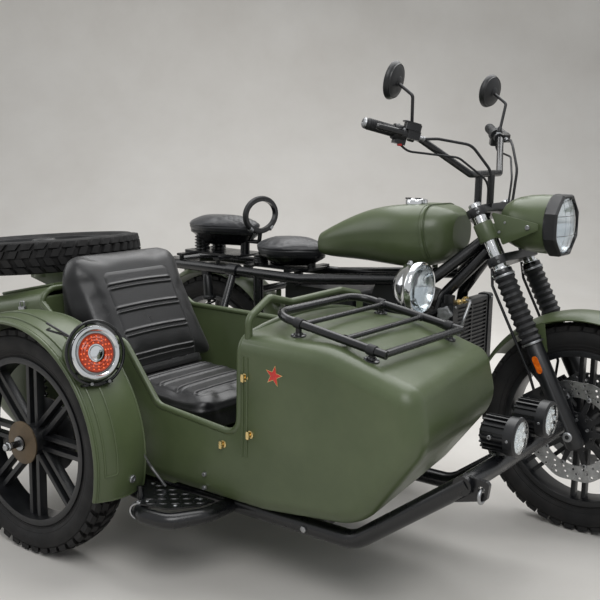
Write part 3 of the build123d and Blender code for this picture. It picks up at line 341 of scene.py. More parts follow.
def keep(name, form, finish, body="chassis", corner=35, stands_for=()):
    """Makes an object of a mesh, smooths it and lets it ride on its body."""
    mesh = mesh_of(name, form)
    mesh.shade_smooth()
    mesh.set_sharp_from_angle(angle=radians(corner))
    mesh.materials.append(finish)
    piece = new_object(name, mesh)
    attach(piece, body)
    if stands_for:
        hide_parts(*stands_for)
    print(name, len(mesh.polygons), "faces")


def body_of(node):
    """Name of the body that a CAD node belongs to."""
    return frame["nodes"][node]["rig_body"]


def dress(finish, *nodes):
    """Gives CAD nodes that stay in view their finish."""
    for node in nodes:
        shape = frame["nodes"][node]
        shape.data.materials.clear()
        shape.data.materials.append(finish)


# %% Turned, bent and cut forms


def sideways(hand):
    """Direction to the left for hand 1, to the right for hand -1."""
    return Vector((0, hand, 0))


def foot_frame(way):
    """A way with two directions square to it."""
    way = Vector(way).normalized()
    side = way.orthogonal().normalized()
    if abs(way.z) < 0.9:
        side = up_way.cross(way).normalized()
    return way, side, way.cross(side)


def spoke(way, angle):
    """Direction square to a way, at an angle round it."""
    _, side, rise = foot_frame(way)
    return side * cos(angle) + rise * sin(angle)


def circle(radius, steps, x=0, y=0):
    """Corners of a circle."""
    angles = [2 * pi * k / steps for k in range(steps)]
    return [(x + radius * cos(a), y + radius * sin(a)) for a in angles]


def round_about(centre, way, radius, count, start=0.0):
    """Points round a line, at a radius in metres, each with its outward direction."""
    for k in range(count):
        out = spoke(way, 2 * pi * k / count + start)
        yield centre + out * radius, out


def skin(form, rows, inward=False):
    """Faces between rings that have as many points each."""
    for first, second in zip(rows, rows[1:]):
        for k in range(len(first)):
            after = (k + 1) % len(first)
            if inward:
                form.faces.new((first[k], second[k], second[after], first[after]))
            else:
                form.faces.new((first[k], first[after], second[after], second[k]))


def lathe(form, foot, way, outline, steps=48):
    """Turns (radius, along) corners in millimetres about a line."""
    way, side, rise = foot_frame(way)
    rows = []
    for radius, along in outline:
        middle = foot + way * (along / 1000)
        if radius < 0.01:
            rows.append([form.verts.new(middle)])
        else:
            rows.append([form.verts.new(middle + (side * x + rise * y) * (radius / 1000))
                         for x, y in circle(1, steps)])
    for first, second in zip(rows, rows[1:]):
        if len(first) == len(second):
            if len(first) > 1:
                skin(form, (first, second), inward=True)
            continue
        for k in range(steps):
            after = (k + 1) % steps
            if len(first) == 1:
                form.faces.new((first[0], second[k], second[after]))
            else:
                form.faces.new((first[k], second[0], first[after]))


def bent(points, radius, steps=6):
    """Way through corner points with an arc of a radius, in metres, at each bend."""
    way = [points[0]]
    for before, corner, after in zip(points, points[1:], points[2:]):
        first = (before - corner).normalized()
        second = (after - corner).normalized()
        half = first.angle(second) / 2
        reach = min(radius / max(0.05, abs(sin(half) / max(cos(half), 1e-6))),
                    (before - corner).length * 0.48, (after - corner).length * 0.48)
        start = corner + first * reach
        end = corner + second * reach
        for step in range(steps + 1):
            t = step / steps
            way.append(start * (1 - t) ** 2 + corner * (2 * t * (1 - t)) + end * t ** 2)
    way.append(points[-1])
    return way


def tube(form, way, radius=0, steps=14, closed=False, profile=None):
    """Sweeps a round section, or (out, up) corners in metres, along a way."""
    corners = profile or circle(radius, steps)
    rows = []
    count = len(way)
    up = None
    for index in range(count):
        behind = way[(index - 1) % count] if closed or index else way[0]
        ahead = way[(index + 1) % count] if closed or index < count - 1 else way[-1]
        run = (ahead - behind).normalized()
        if up is None:
            up = run.orthogonal().normalized() if abs(run.z) > 0.9 else up_way
        up = (up - run * up.dot(run)).normalized()
        out = run.cross(up)
        rows.append([form.verts.new(way[index] + out * a + up * b) for a, b in corners])
    skin(form, rows + rows[:1] if closed else rows)
    if not closed:
        form.faces.new(rows[0][::-1])
        form.faces.new(rows[-1])


def plate(form, origin, x_way, y_way, corners, thickness):
    """Plate from (x, y) corners in millimetres, thick along the normal in metres."""
    x_way, y_way = Vector(x_way).normalized(), Vector(y_way).normalized()
    depth = x_way.cross(y_way) * thickness
    low = [form.verts.new(origin + x_way * (x / 1000) + y_way * (y / 1000)) for x, y in corners]
    high = [form.verts.new(v.co + depth) for v in low]
    form.faces.new(low[::-1])
    form.faces.new(high)
    skin(form, (low, high))


def rounded(wide, high, corner, steps=5):
    """Corners of a rectangle with rounded corners."""
    points = []
    for k, (sx, sy) in enumerate(((1, 1), (-1, 1), (-1, -1), (1, -1))):
        for step in range(steps + 1):
            a = pi / 2 * (k + step / steps)
            points.append((sx * (wide / 2 - corner) + corner * cos(a),
                           sy * (high / 2 - corner) + corner * sin(a)))
    return points


def bolt(form, head, way, width, height, sides=12):
    """Screw head: a low turned form with a chamfered top and a shallow socket."""
    r = width / 2
    lathe(form, head, way, [(0, -1), (r, -1), (r, height * 0.75), (r * 0.86, height), (r * 0.5, height),
                            (r * 0.42, height * 0.55), (0, height * 0.55)], sides)


def turned(name, foot, way, outline, steps, finish, body="chassis", corner=35, stands_for=()):
    """A piece that is one turned form."""
    form = bmesh.new()
    lathe(form, foot, way, outline, steps)
    keep(name, form, finish, body, corner, stands_for)


def softened(node, edge):
    """A copy of a CAD node's mesh with its sharp edges rounded by a radius in millimetres."""
    form = bmesh.new()
    form.from_mesh(frame["nodes"][node].data)
    bmesh.ops.remove_doubles(form, verts=form.verts, dist=0.00002)
    bmesh.ops.dissolve_limit(form, angle_limit=radians(2), verts=form.verts, edges=form.edges)
    keen = [e for e in form.edges if len(e.link_faces) == 2 and e.calc_face_angle(0) > radians(35)]
    bmesh.ops.bevel(form, geom=keen, offset=edge / 1000, segments=2, profile=0.5,
                    affect="EDGES", clamp_overlap=True, harden_normals=False)
    bmesh.ops.triangulate(form, faces=[f for f in form.faces if len(f.verts) > 4])
    return form


print("helpers ready")

# %% [markdown]
# ## Finishes on the CAD parts
# These parts already have their real shape: frame, tubes, brackets and castings.

# %% Finishes of what stays
dress(black_coat, "main_frame", "swing_arm", "sidecar_chassis", "sidecar_struts", "sidecar_arm",
      "step_board", "handlebar", "saddle_mounts", "nose_rack", "yokes", "foot_controls", "trunk_lid")
dress(cast_black, "engine", "front_wheel", "rear_wheel", "sidecar_wheel", "spare_wheel",
      "front_calipers", "fork_sliders", "fog_lamps")
dress(green_paint, "tub", "sidecar_fender", "front_fender", "rear_fender", "fuel_tank",
      "headlamp", "lamp_brackets", "grab_rail")
dress(black_plastic, "battery_box", "radiator", "mirrors")
dress(soft_rubber, "fork_gaiters", "hand_controls")
dress(chrome, "fork_stanchions", "spot_lamp", "fender_lamp")
dress(ground_steel, "front_discs", "shock_absorbers")
dress(burnt_steel, "exhaust")
dress(chain_steel, "drive_chain")
dress(clear_lens, "headlamp_lens")
dress(red_lens, "tail_lamps")
dress(tyre_rubber, "front_tyre", "rear_tyre", "sidecar_tyre", "spare_tyre")

# %% [markdown]
# ## Tyres
# Four like tyres with an old military tread: two rows of slanted bars that meet
# in a chevron, and a row of shoulder lugs on each side. The carcass is turned
# from its section. One bar is cut once and copied round in steps of a pitch,
# which is how the mould is made too.

# %% Tyres
tread_depth = 10
bar_pitches = 46
crown_fall = 0.0030
bar_rows = ((2.5, 25, 0.034, 0.074), (29, 47, 0.044, 0.088))  # inner and outer edge, slant, breadth
crown = wheel_radius - tread_depth
half_section = [(238, 36), (249, 36.5), (252, 39.5), (255, 39.5), (258, 43), (262, 44.5), (264, 46.5),
                (267, 46.5), (270, 49), (285, 53), (296, 52.5), (306, 49), (311, 43), (314, 34),
                (317.5, 22), (crown, 8), (crown, 0)]
tyre_section = half_section + [(r, -x) for r, x in half_section[-2::-1]]


def tyre(name, body, hub, way):
    """Carcass with side-wall rings, and tread bars round it."""
    form = bmesh.new()
    lathe(form, hub, way, tyre_section, 72)
    way, side, rise = foot_frame(way)
    for pitch in range(bar_pitches):
        start = 2 * pi * pitch / bar_pitches
        for hand in (1, -1):
            shift = start + (pi / bar_pitches if hand < 0 else 0)
            for inner, outer, slant, breadth in bar_rows:
                corners = []
                for across, angle in ((inner, shift), (outer, shift + slant)):
                    top = wheel_radius - crown_fall * across * across
                    root = top - tread_depth - 4
                    for radius, spread in ((root, breadth * 1.2), (top, breadth)):
                        for edge in (-0.5, 0.5):
                            a = angle + edge * spread
                            out = side * cos(a) + rise * sin(a)
                            corners.append(form.verts.new(hub + way * (hand * across / 1000)
                                                          + out * (radius / 1000)))
                a, b, c, d, e, f, g, h = corners
                for face in ((c, d, h, g), (a, c, g, e), (b, f, h, d), (a, b, d, c), (e, g, h, f)):
                    form.faces.new(face if hand > 0 else face[::-1])
    keep(name + "_rubber", form, tyre_rubber, body, 30, (name,))


tyre("front_tyre", "front_wheel", front_hub, right_way)
tyre("rear_tyre", "rear_wheel", rear_hub, right_way)
tyre("sidecar_tyre", "sidecar_wheel", side_hub, right_way)
tyre("spare_tyre", "trunk", spare_hub, spare_up)

# %% [markdown]
# ## Seat of the sidecar
# The real seat is foam on a board under coated leather: a cushion and a tall
# back, each with a smooth border and a panel of sewn channels. The puffed look
# comes from foam that pushes the cover out between its seams, so each pad starts
# as a plain block a little too small and a cloth simulation with inner pressure
# swells it. The panel is a second, finer sheet that is laid on the swollen
# cover, as the maker sews it: its channels need a closer mesh than the foam.

# %% Swelling a pad
swell_frames = 20


def apply_modifiers(piece):
    """Turns a piece's modifiers into its mesh."""
    graph = bpy.context.evaluated_depsgraph_get()
    solid = bpy.data.meshes.new_from_object(piece.evaluated_get(graph))
    old = piece.data
    piece.modifiers.clear()
    piece.data = solid
    bpy.data.meshes.remove(old)


def even_pad(name, form, voxel):
    """An object of a rough form with an even mesh."""
    pad = new_object(name, mesh_of(name, form))
    remesh = pad.modifiers.new("even mesh", "REMESH")
    remesh.mode = "VOXEL"
    remesh.voxel_size = voxel
    apply_modifiers(pad)
    return pad


def swell(pad, pressure, most, grip):
    """Cloth simulation with inner pressure; what grip() names stays put, the rest moves at most so far."""
    before = [v.co.copy() for v in pad.data.vertices]
    held = pad.vertex_groups.new(name="board")
    held.add([v.index for v in pad.data.vertices if grip(v.co)], 1.0, "REPLACE")
    cloth = pad.modifiers.new("foam", "CLOTH")
    cloth.settings.use_pressure = True
    cloth.settings.uniform_pressure_force = pressure
    cloth.settings.effector_weights.gravity = 0
    cloth.settings.vertex_group_mass = "board"
    cloth.settings.tension_stiffness = 12
    cloth.settings.compression_stiffness = 12
    for step in range(1, swell_frames + 1):
        scene.frame_set(step)
    apply_modifiers(pad)
    scene.frame_set(1)
    for vertex, old in zip(pad.data.vertices, before):
        move = vertex.co - old
        if move.length > most:
            vertex.co = old + move * (most / move.length)
    print(pad.name, len(pad.data.vertices), "points after swelling")


def block(name, corners, half_width, rounding):
    """A pad's side outline extruded across, its edges bevelled, and its plan shaped by rounding(x, z)."""
    form = bmesh.new()
    plate(form, place(0, tub_mid + half_width, 0), ahead_way, up_way, corners, 2 * half_width / 1000)
    bmesh.ops.recalc_face_normals(form, faces=form.faces)
    bmesh.ops.bevel(form, geom=list(form.edges), offset=0.022, segments=4, profile=0.5, affect="EDGES",
                    clamp_overlap=True)
    pad = even_pad(name, form, 0.009)
    centre = place(0, tub_mid, 0).y
    for vertex in pad.data.vertices:
        share = rounding((vertex.co.x - rear_axle) * 1000, vertex.co.z * 1000) / half_width
        vertex.co.y = centre + (vertex.co.y - centre) * share
    return pad


def subdivide_once(piece, evenings=0):
    """One level of smooth subdivision, after some rounds of evening out, kept in the mesh."""
    if evenings:
        even = piece.modifiers.new("even", "SMOOTH")
        even.factor = 0.5
        even.iterations = evenings
    finer = piece.modifiers.new("smooth", "SUBSURF")
    finer.levels = 1
    apply_modifiers(piece)


def finish_pad(pad, node, finish):
    """Finish, smooth shading and body of a padded piece; the CAD node it stands for is hidden."""
    pad.data.materials.clear()
    pad.data.materials.append(finish)
    pad.data.shade_smooth()
    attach(pad, body_of(node))
    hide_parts(node)


# %% [markdown]
# A sewn line is a narrow groove with a small swell on both sides. It is written
# once, as a depth over the distance from the line.

# %% Sewn panels
panel_corner = 26
tucked_under, edge_height, pile, edge_roll = -3.5, -1.4, 3.6, 12
border, fade, line_sag = 6, 10, 4


def groove(distance, depth, breadth):
    """How far a cover is drawn in at a distance from a seam."""
    return depth * exp(-(distance / breadth) ** 2)


def edge_distance(x, y, half_x, half_y, corner):
    """Distance inside a rounded rectangle's edge, in millimetres."""
    a = abs(x) - half_x + corner
    b = abs(y) - half_y + corner
    return corner - hypot(max(a, 0), max(b, 0)) - min(max(a, b), 0)


def channel(distance):
    """Relief of a double seam: a deep valley between two rolled ridges."""
    return groove(abs(distance) - 7.5, 4.2, 3.6) - groove(distance, 5.5, 3.4)


def sewn_panel(name, pad, origin, up, half_width, height, lines, rows=190, columns=64):
    """Fine quilted sheet laid on a pad; lines are its channels' heights in millimetres."""
    form = bmesh.new()
    out = left_way.cross(up).normalized()
    grid = []
    for row in range(rows + 1):
        strip = []
        for column in range(columns + 1):
            u = half_width * (2 * column / columns - 1)
            v = height * row / rows
            start = origin + left_way * (u / 1000) + up * (v / 1000)
            hit, where, _, _ = pad.ray_cast(start + out * 0.2, -out)
            inside = edge_distance(u, v - height / 2, half_width, height / 2, panel_corner)
            rise = tucked_under if inside <= 0 else pile * min(1.0, sqrt(inside / edge_roll)) + edge_height
            level_in = max(0.0, min(1.0, (inside - border) / fade))
            for line in lines:
                rise += channel(v - line + line_sag * (u / half_width) ** 2) * level_in
            strip.append(form.verts.new((where if hit else start) + out * (rise / 1000)))
        grid.append(strip)
    for lower, upper in zip(grid, grid[1:]):
        for k in range(columns):
            form.faces.new((lower[k], lower[k + 1], upper[k + 1], upper[k]))
    keep(name, form, seat_leather, corner=80)


# %% Seat back
back_top, half_back, shoulder = 842, 232, 84
back_foot = place(426, tub_mid, 468)
back_head = place(222, tub_mid, back_top)
back_up = (back_head - back_foot).normalized()
panel_height = (back_head - back_foot).length * 1000 * 0.80


def back_half(x, z):
    """Half width of the back at a height: its shoulders are round."""
    over = max(0.0, min(shoulder - 12.0, z - (back_top - shoulder)))
    return half_back - (shoulder - sqrt(shoulder ** 2 - over ** 2))


back = block("seat_back_cover", [(190, 476), (408, 476), (214, 828), (166, 830), (164, 720)],
             half_back, back_half)
swell(back, 3.4, 0.013, lambda co: co.x < place(178, 0, 0).x)
subdivide_once(back, 14)
finish_pad(back, "seat_back", seat_leather)
sewn_panel("seat_back_panel", back, back_foot + back_up * 0.012, back_up, 142, panel_height,
           [panel_height * s for s in (0.17, 0.40, 0.63, 0.86)])

# %% Seat cushion
half_cushion, cushion_front, cushion_corner = 196, 730, 60
piping_height, piping_depth, piping_breadth = 424, 4.5, 5


def cushion_half(x, z):
    """Half width of the cushion: its front corners are round."""
    over = max(0.0, min(cushion_corner - 4.0, x - (cushion_front - cushion_corner)))
    return half_cushion - (cushion_corner - sqrt(cushion_corner ** 2 - over ** 2)) * 0.8


cushion = block("seat_cushion_cover", [(214, 362), (722, 362), (734, 452), (222, 462)],
                half_cushion, cushion_half)
swell(cushion, 3.4, 0.012, lambda co: co.z < 0.366)
subdivide_once(cushion, 4)
for vertex in cushion.data.vertices:
    x = (vertex.co.x - rear_axle) * 1000
    y = (vertex.co.y - bike_middle) * 1000 - tub_mid
    if x > 640 or abs(y) > 150:
        out_way = Vector((1 if x > 700 else 0, (1 if y > 0 else -1) if abs(y) > 170 else 0, 0))
        if out_way.length:
            depth = groove(vertex.co.z * 1000 - piping_height, piping_depth, piping_breadth)
            vertex.co += out_way.normalized() * (depth / 1000)
finish_pad(cushion, "seat_cushion", seat_leather)
sewn_panel("seat_cushion_panel", cushion, place(688, tub_mid, 462), rear_way, 158, 320,
           (34, 104, 174, 244), 150, 56)

# %% [markdown]
# ## Sidecar body
# The tub is pressed steel sheet with rolled edges. The CAD shell has its shape;
# the copy here rounds every cut edge, and a bead is laid along the cockpit's
# rim, because the real edge is rolled round a wire. Two folded seams run down
# the right wall behind the nose, and small fittings follow: turn buttons of
# brass, the painted star, and the latch of the trunk.

# %% Tub with softened edges


def soft_copy(name, node, edge, finish):
    """Keeps a softened copy of a CAD part in its place."""
    keep(name, softened(node, edge), finish, body_of(node), 40, (node,))


soft_copy("tub_sheet", "tub", 2.5, green_paint)

# %% Rolled rim
bead = 0.0095
right_wall, left_wall = -994, -436
wall_skin = -1000
nose_edge, nose_top = 936, 697
tail_edge, tail_top = 142, 728
corner_size = 44
corner_steps = [(0, 0), (5.9, 22), (22, 38), (corner_size, corner_size)]
deck_rise, deck_half = 26, 240


def over_corner(x, wall, top, inward):
    """Points round the body's rounded shoulder, from the wall up to the top."""
    return [place(x, wall + inward * across, top - corner_size + rise) for across, rise in corner_steps]


def deck_crown(y):
    """Height of the nose deck's crown at a side."""
    return deck_rise * (1 - ((y - tub_mid) / deck_half) ** 2)


form = bmesh.new()
rim = [place(x, right_wall, z) for x, z in ((250, 622), (505, 622), (640, 458), (nose_edge, 430))]
rim += over_corner(nose_edge, right_wall, nose_top, 1)
rim += [place(nose_edge, y, nose_top + deck_crown(y)) for y in range(-900, -500, 62)]
rim += over_corner(nose_edge, left_wall, nose_top, -1)[::-1]
rim += [place(nose_edge, left_wall, 622), place(250, left_wall, 622)]
rim += over_corner(tail_edge, left_wall, tail_top, -1)
rim += over_corner(tail_edge, right_wall, tail_top, 1)[::-1]
tube(form, bent(rim + rim[:1], 0.05)[:-1], bead, closed=True)
keep("rolled_rim", form, green_paint)

# %% Folded seams on the right wall
form = bmesh.new()
for x in (950, 964):
    tube(form, [place(x, wall_skin - 0.5, z) for z in (646, 560, 480, 420, 380)], 0.0028, 10)
keep("wall_seams", form, green_paint)

# %% Star and turn buttons
star_middle = place(1051, wall_skin - 0.2, 612)
star_lean = 0.16
points = []
for k in range(10):
    r = 10 if k % 2 else 25
    points.append((r * sin(pi * k / 5 + star_lean), r * cos(pi * k / 5 + star_lean)))
for name, share, thickness, finish in (("star_edge", 1.14, 0.0009, brass), ("star", 1, 0.0016, red_enamel)):
    form = bmesh.new()
    plate(form, star_middle, ahead_way, up_way, [(x * share, y * share) for x, y in points], thickness)
    keep(name, form, finish)

form = bmesh.new()
for x, z in ((957, 592), (976, 443), (884, 398)):
    foot = place(x, wall_skin, z)
    lathe(form, foot, right_way, [(0, -1), (10.5, -1), (10.5, 1.8), (8, 3), (3.6, 3.2), (3.6, 9), (0, 9)], 24)
    plate(form, foot + right_way * 0.0075, ahead_way, up_way,
          [(-4, -10), (4, -10), (5.2, 0), (4, 10), (-4, 10), (-5.2, 0)], 0.005)
keep("turn_buttons", form, brass)

# %% [markdown]
# The tail closes with a lid over a folded edge. An over-centre latch on the wall
# holds it: a base plate, a lever and a hook.

# %% Trunk latch and the lid's edge
form = bmesh.new()
latch_way, latch_up = Vector((1, 0, 0.2)), Vector((-0.2, 0, 1))
plate(form, place(56, wall_skin, 655), latch_way, latch_up,
      [(-18, -12), (18, -12), (18, 12), (-18, 12)], 0.0026)
plate(form, place(60, wall_skin - 4, 660), latch_way, latch_up,
      [(-11, -7), (13, -5), (13, 5), (-11, 7)], 0.004)
hook = [place(x, wall_skin - 5, z) for x, z in ((50, 652), (50, 682), (70, 686), (70, 656))]
tube(form, bent(hook, 0.006), 0.0018, 8)
keep("trunk_latch", form, cast_aluminium, corner=30)
form = bmesh.new()
lid_half, lid_fold = 214, 0.0042
slope = Vector((306, 0, 70)).normalized()
for hand in (1, -1):
    start = place(-138, tub_mid + hand * lid_half, 676)
    tube(form, [start, start + slope * 0.27], lid_fold, 10)
tube(form, [place(-139, tub_mid - lid_half, 676), place(-139, tub_mid + lid_half, 676)], lid_fold, 10)
keep("lid_edge", form, green_paint, "trunk")

# %% [markdown]
# ## Wheels and brakes
# The wheels are castings in black enamel, so every edge of the CAD shape is
# rounded a little. Each brake disc is one sheet of ground steel, cut wavy and
# drilled. It is drawn as a flat curve with holes, given a thickness, and turned
# to a mesh, because a curve fills an outline with many holes by itself.

# %% Wheels with cast edges
for node in ("front_wheel", "rear_wheel", "sidecar_wheel", "spare_wheel"):
    soft_copy(node + "_casting", node, 2.2, cast_black)

# %% Sheet parts with holes


def add_sheet(form, outer, holes, thickness, foot, way):
    """Adds a flat sheet from outlines in millimetres, laid square to a way."""
    drawing = bpy.data.curves.new("sheet", "CURVE")
    drawing.dimensions = "2D"
    drawing.fill_mode = "BOTH"
    drawing.extrude = thickness / 2000
    drawing.bevel_depth = 0.0004
    for outline in [outer] + holes:
        line = drawing.splines.new("POLY")
        line.points.add(len(outline) - 1)
        for point, (x, y) in zip(line.points, outline):
            point.co = (x / 1000, y / 1000, 0, 1)
        line.use_cyclic_u = True
    holder = new_object("sheet", drawing)
    graph = bpy.context.evaluated_depsgraph_get()
    mesh = bpy.data.meshes.new_from_object(holder.evaluated_get(graph))
    bpy.data.objects.remove(holder)
    way, side, rise = foot_frame(way)
    mesh.transform(Matrix.Translation(foot) @ Matrix((side, rise, way)).transposed().to_4x4())
    form.from_mesh(mesh)
    bpy.data.meshes.remove(mesh)


def brake_disc(form, foot, way, outer, inner, thickness, rows):
    """Adds a wavy ring, drilled in slanted rows of three holes."""
    wave, waves, steps = 2.5, 10, 180
    holes = [circle(inner, 72)]
    for row in range(rows):
        for step in range(3):
            r = inner + (outer - inner) * (0.24 + 0.26 * step)
            a = 2 * pi * row / rows + 0.075 * step
            holes.append(circle(4.4, 10, r * cos(a), r * sin(a)))
    edge = []
    for k in range(steps):
        r = outer - wave + wave * cos(waves * 2 * pi * k / steps)
        edge.append((r * cos(2 * pi * k / steps), r * sin(2 * pi * k / steps)))
    add_sheet(form, edge, holes, thickness, foot, way)


def carrier(form, foot, way, outer, inner, arms, thickness):
    """Adds a black aluminium carrier: a hub ring with arms to the disc's buttons."""
    outline = []
    pitch = 2 * pi / arms
    for arm in range(arms):
        for share, radius in ((-0.5, inner + 16), (-0.2, inner + 20), (-0.09, outer), (0.09, outer),
                              (0.2, inner + 20)):
            a = 2 * pi * arm / arms + share * pitch
            outline.append((radius * cos(a), radius * sin(a)))
    holes = [circle(inner - 18, 40)]
    for arm in range(arms):
        a = 2 * pi * (arm + 0.5) / arms
        holes.append(circle(5.5, 10, (inner + 7) * cos(a), (inner + 7) * sin(a)))
    add_sheet(form, outline, holes, thickness, foot, way)


discs, carriers, rivets = (bmesh.new() for _ in range(3))
for hand in (1, -1):
    way = right_way * hand
    foot = front_hub + way * 0.068
    brake_disc(discs, foot, way, 160, 108, 4.6, 24)
    carrier(carriers, foot, way, 114, 44, 10, 6.4)
    for spot, _ in round_about(front_hub, way, 0.1095, 10):
        lathe(rivets, spot + way * 0.0695, way,
              [(0, -4), (7.5, -4), (7.5, 3), (5.5, 3.8), (3.2, 3.8), (3, 1.6), (0, 1.6)], 14)
    for spot, _ in round_about(front_hub, way, 0.038, 5, 0.3):
        bolt(rivets, spot + way * 0.071, way, 11, 6)
keep("brake_discs", discs, ground_steel, "front_wheel", 30, ("front_discs",))
keep("disc_carriers", carriers, cast_black, "front_wheel", 30)
keep("disc_buttons", rivets, cast_aluminium, "front_wheel", 30)

# %% Sidecar wheel's drum face, hub cap and axle nut
turned("sidecar_drum_face", side_hub, left_way,
       [(20, 46), (108, 46), (110, 48), (110, 51.4), (30, 51.4), (26, 54), (14, 54)], 64,
       bronze_cast, "sidecar_wheel")
turned("sidecar_hub_cap", side_hub, right_way,
       [(24, 44), (58, 44.5), (62, 47), (62, 51), (50, 54), (34, 58), (22, 58)], 64,
       bronze_cast, "sidecar_wheel")
form = bmesh.new()
lathe(form, side_hub, right_way,
      [(0, 91), (12.5, 91), (13, 92), (13, 99), (11, 101), (11, 109), (8, 111), (0, 111)], 6)
lathe(form, side_hub, right_way, [(10, 58), (19, 58), (20, 60), (20, 63), (10, 63)], 32)
keep("sidecar_axle_nut", form, cast_aluminium, corner=30)

# %% [markdown]
# ## Fork
# Chrome stanchions run into ribbed rubber gaiters, above black cast sliders that
# carry an orange reflector, pinch bolts and the calipers.

# %% Fork details


def fork_point(t, y, ahead=0.0):
    """Point on the fork, t above the axle, y to the left, and ahead of its middle line, in millimetres."""
    return place(wheelbase, y, wheel_radius) + fork_up * (t / 1000) + fork_ahead * (ahead / 1000)


soft_copy("slider_castings", "fork_sliders", 3, cast_black)
form = bmesh.new()
for hand in (1, -1):
    foot = fork_point(232, hand * leg_side) + sideways(hand) * 0.0276
    oval = [(x, y + (19 if y > 0 else -19)) for x, y in circle(14, 24)]
    plate(form, foot, fork_ahead * -hand, fork_up, [(x * 0.62, y * 0.85) for x, y in oval], 0.0042)
keep("fork_reflectors", form, amber_lens, "steering", 30)

metal, dark = bmesh.new(), bmesh.new()
caliper_side = 92
for hand in (1, -1):
    leg, out = hand * leg_side, sideways(hand)
    lathe(metal, fork_point(0, leg) + out * 0.030, out,
          [(0, -2), (15, -2), (15, 3), (12, 5), (7, 5), (6, 2), (0, 2)], 24)
    for t in (295, 519):
        lathe(metal, fork_point(t, leg), fork_up, [(30, 0), (33.8, 0), (34.3, 3), (33.8, 7), (30, 7)], 36)
    for t in (567, 579, 732, 744):
        bolt(metal, fork_point(t, leg, 16) + out * 0.030, out, 9, 5)
    lathe(metal, fork_point(760, leg), fork_up,
          [(0, -2), (20, -2), (20, 4), (17, 6), (9, 6), (8, 3), (0, 3)], 24)
    for x, z, lift, width, height in ((1430, 424, 0.009, 12, 7), (1430, 384, 0.009, 12, 7),
                                      (1350, 412, 0.001, 11, 5), (1400, 412, 0.001, 11, 5),
                                      (1372, 392, 0.001, 11, 5)):
        bolt(metal, place(x, hand * caliper_side, z) + out * lift, out, width, height)
    lathe(dark, place(1376, hand * caliper_side, 406), out, [(17, -2), (17, 1.2), (14, 2.2), (0, 2.2)], 28)
    lathe(dark, place(1398, hand * caliper_side, 436), out, [(11, -2), (11, 1.2), (8, 2.2), (0, 2.2)], 24)
keep("fork_fasteners", metal, cast_aluminium, "steering", 30)
keep("caliper_caps", dark, cast_black, "steering", 30)
soft_copy("caliper_castings", "front_calipers", 3, cast_black)

# %% [markdown]
# ## Headlamp
# The bowl is spun steel in the body's green. Its bezel is a black casting with
# eight flats and small screws; behind the domed glass sits a bright reflector
# with a bulb. Thin bars in the glass give it the grid that the photograph shows.

# %% Headlamp


def shaped(form, foot, way, outline, steps, radius_at):
    """Like the lathe, with a radius in millimetres that also changes round the line."""
    way = Vector(way).normalized()
    rows = []
    for share, along in outline:
        row = []
        for k in range(steps):
            a = 2 * pi * k / steps
            row.append(form.verts.new(foot + way * (along / 1000)
                                      + spoke(way, a) * (radius_at(share, a) / 1000)))
        rows.append(row)
    skin(form, rows, inward=True)


lamp_foot = place(0, 0, 950)
turned("headlamp_bowl", lamp_foot, ahead_way,
       [(0, 1196), (34, 1196), (44, 1199), (58, 1209), (70, 1226), (80, 1250), (87, 1282), (91, 1320),
        (92, 1362), (91, 1374), (86, 1374), (84, 1362), (60, 1338), (22, 1322), (0, 1322)], 72,
       green_paint, "steering", 40, ("headlamp",))

half_flat = pi / 8


def bezel_radius(share, angle):
    """Radius of the bezel, round where the share's second part is 1 and with eight flats where it is 0."""
    radius, roundness = share
    flat = cos(half_flat) / cos((angle + half_flat) % (2 * half_flat) - half_flat)
    return radius * (roundness + (1 - roundness) * flat)


form = bmesh.new()
shaped(form, lamp_foot, ahead_way,
       [((95, 1), 1362), ((100, 0.4), 1366), ((101, 0), 1372), ((101, 0), 1398), ((97, 0), 1404),
        ((90, 0.4), 1404), ((86.5, 1), 1400), ((85.5, 1), 1384)], 96, bezel_radius)
bmesh.ops.recalc_face_normals(form, faces=form.faces)
keep("headlamp_bezel", form, black_plastic, "steering", 28)

form = bmesh.new()
for spot, out in round_about(lamp_foot + ahead_way * 1.385, ahead_way, 0.0925, 8, half_flat):
    bolt(form, spot, out, 8, 4)
keep("bezel_screws", form, cast_aluminium, "steering", 30)

turned("headlamp_reflector", lamp_foot, ahead_way,
       [(86.5, 1396), (84, 1396), (74, 1376), (52, 1354), (30, 1342), (14, 1338)], 64, reflector, "steering")
turned("headlamp_bulb", lamp_foot, ahead_way,
       [(16, 1336), (16, 1344), (9, 1348), (9, 1362), (7, 1368), (0, 1371)], 32, cast_aluminium, "steering")
turned("headlamp_glass", lamp_foot, ahead_way,
       [(0, 1414), (20, 1413.3), (40, 1411), (58, 1407.4), (74, 1402.4), (85.5, 1397), (85.5, 1393.5),
        (74, 1398.6), (58, 1403.6), (40, 1407.3), (20, 1409.5), (0, 1410)], 64,
       clear_lens, "steering", 40, ("headlamp_lens",))


glass_front, glass_depth, glass_radius = 1414, 17, 85.5


def dome(r):
    """How far forward the glass reaches at a radius, in millimetres."""
    return glass_front - glass_depth * (r / glass_radius) ** 2


form = bmesh.new()
for offset, standing in ((-34, True), (0, True), (34, True), (-30, False), (30, False)):
    way = []
    span = sqrt(84 ** 2 - offset ** 2)
    for step in range(17):
        s = span * (step / 8 - 1)
        y, z = (offset, s) if standing else (s, offset)
        way.append(lamp_foot + Vector((dome(hypot(y, z)) / 1000 - 0.0006, y / 1000, z / 1000)))
    tube(form, way, 0.0012, 6)
keep("headlamp_bars", form, clear_lens, "steering")

# %% Brackets of the headlamp
soft_copy("headlamp_ears", "lamp_brackets", 1.2, green_paint)
form = bmesh.new()
for hand in (1, -1):
    for x, z, width, height in ((1320, 945, 15, 7), (1228, 925, 9, 4), (1245, 955, 7, 3)):
        bolt(form, place(x, hand * 105.5, z), sideways(hand), width, height)
keep("ear_screws", form, cast_aluminium, "steering", 30)

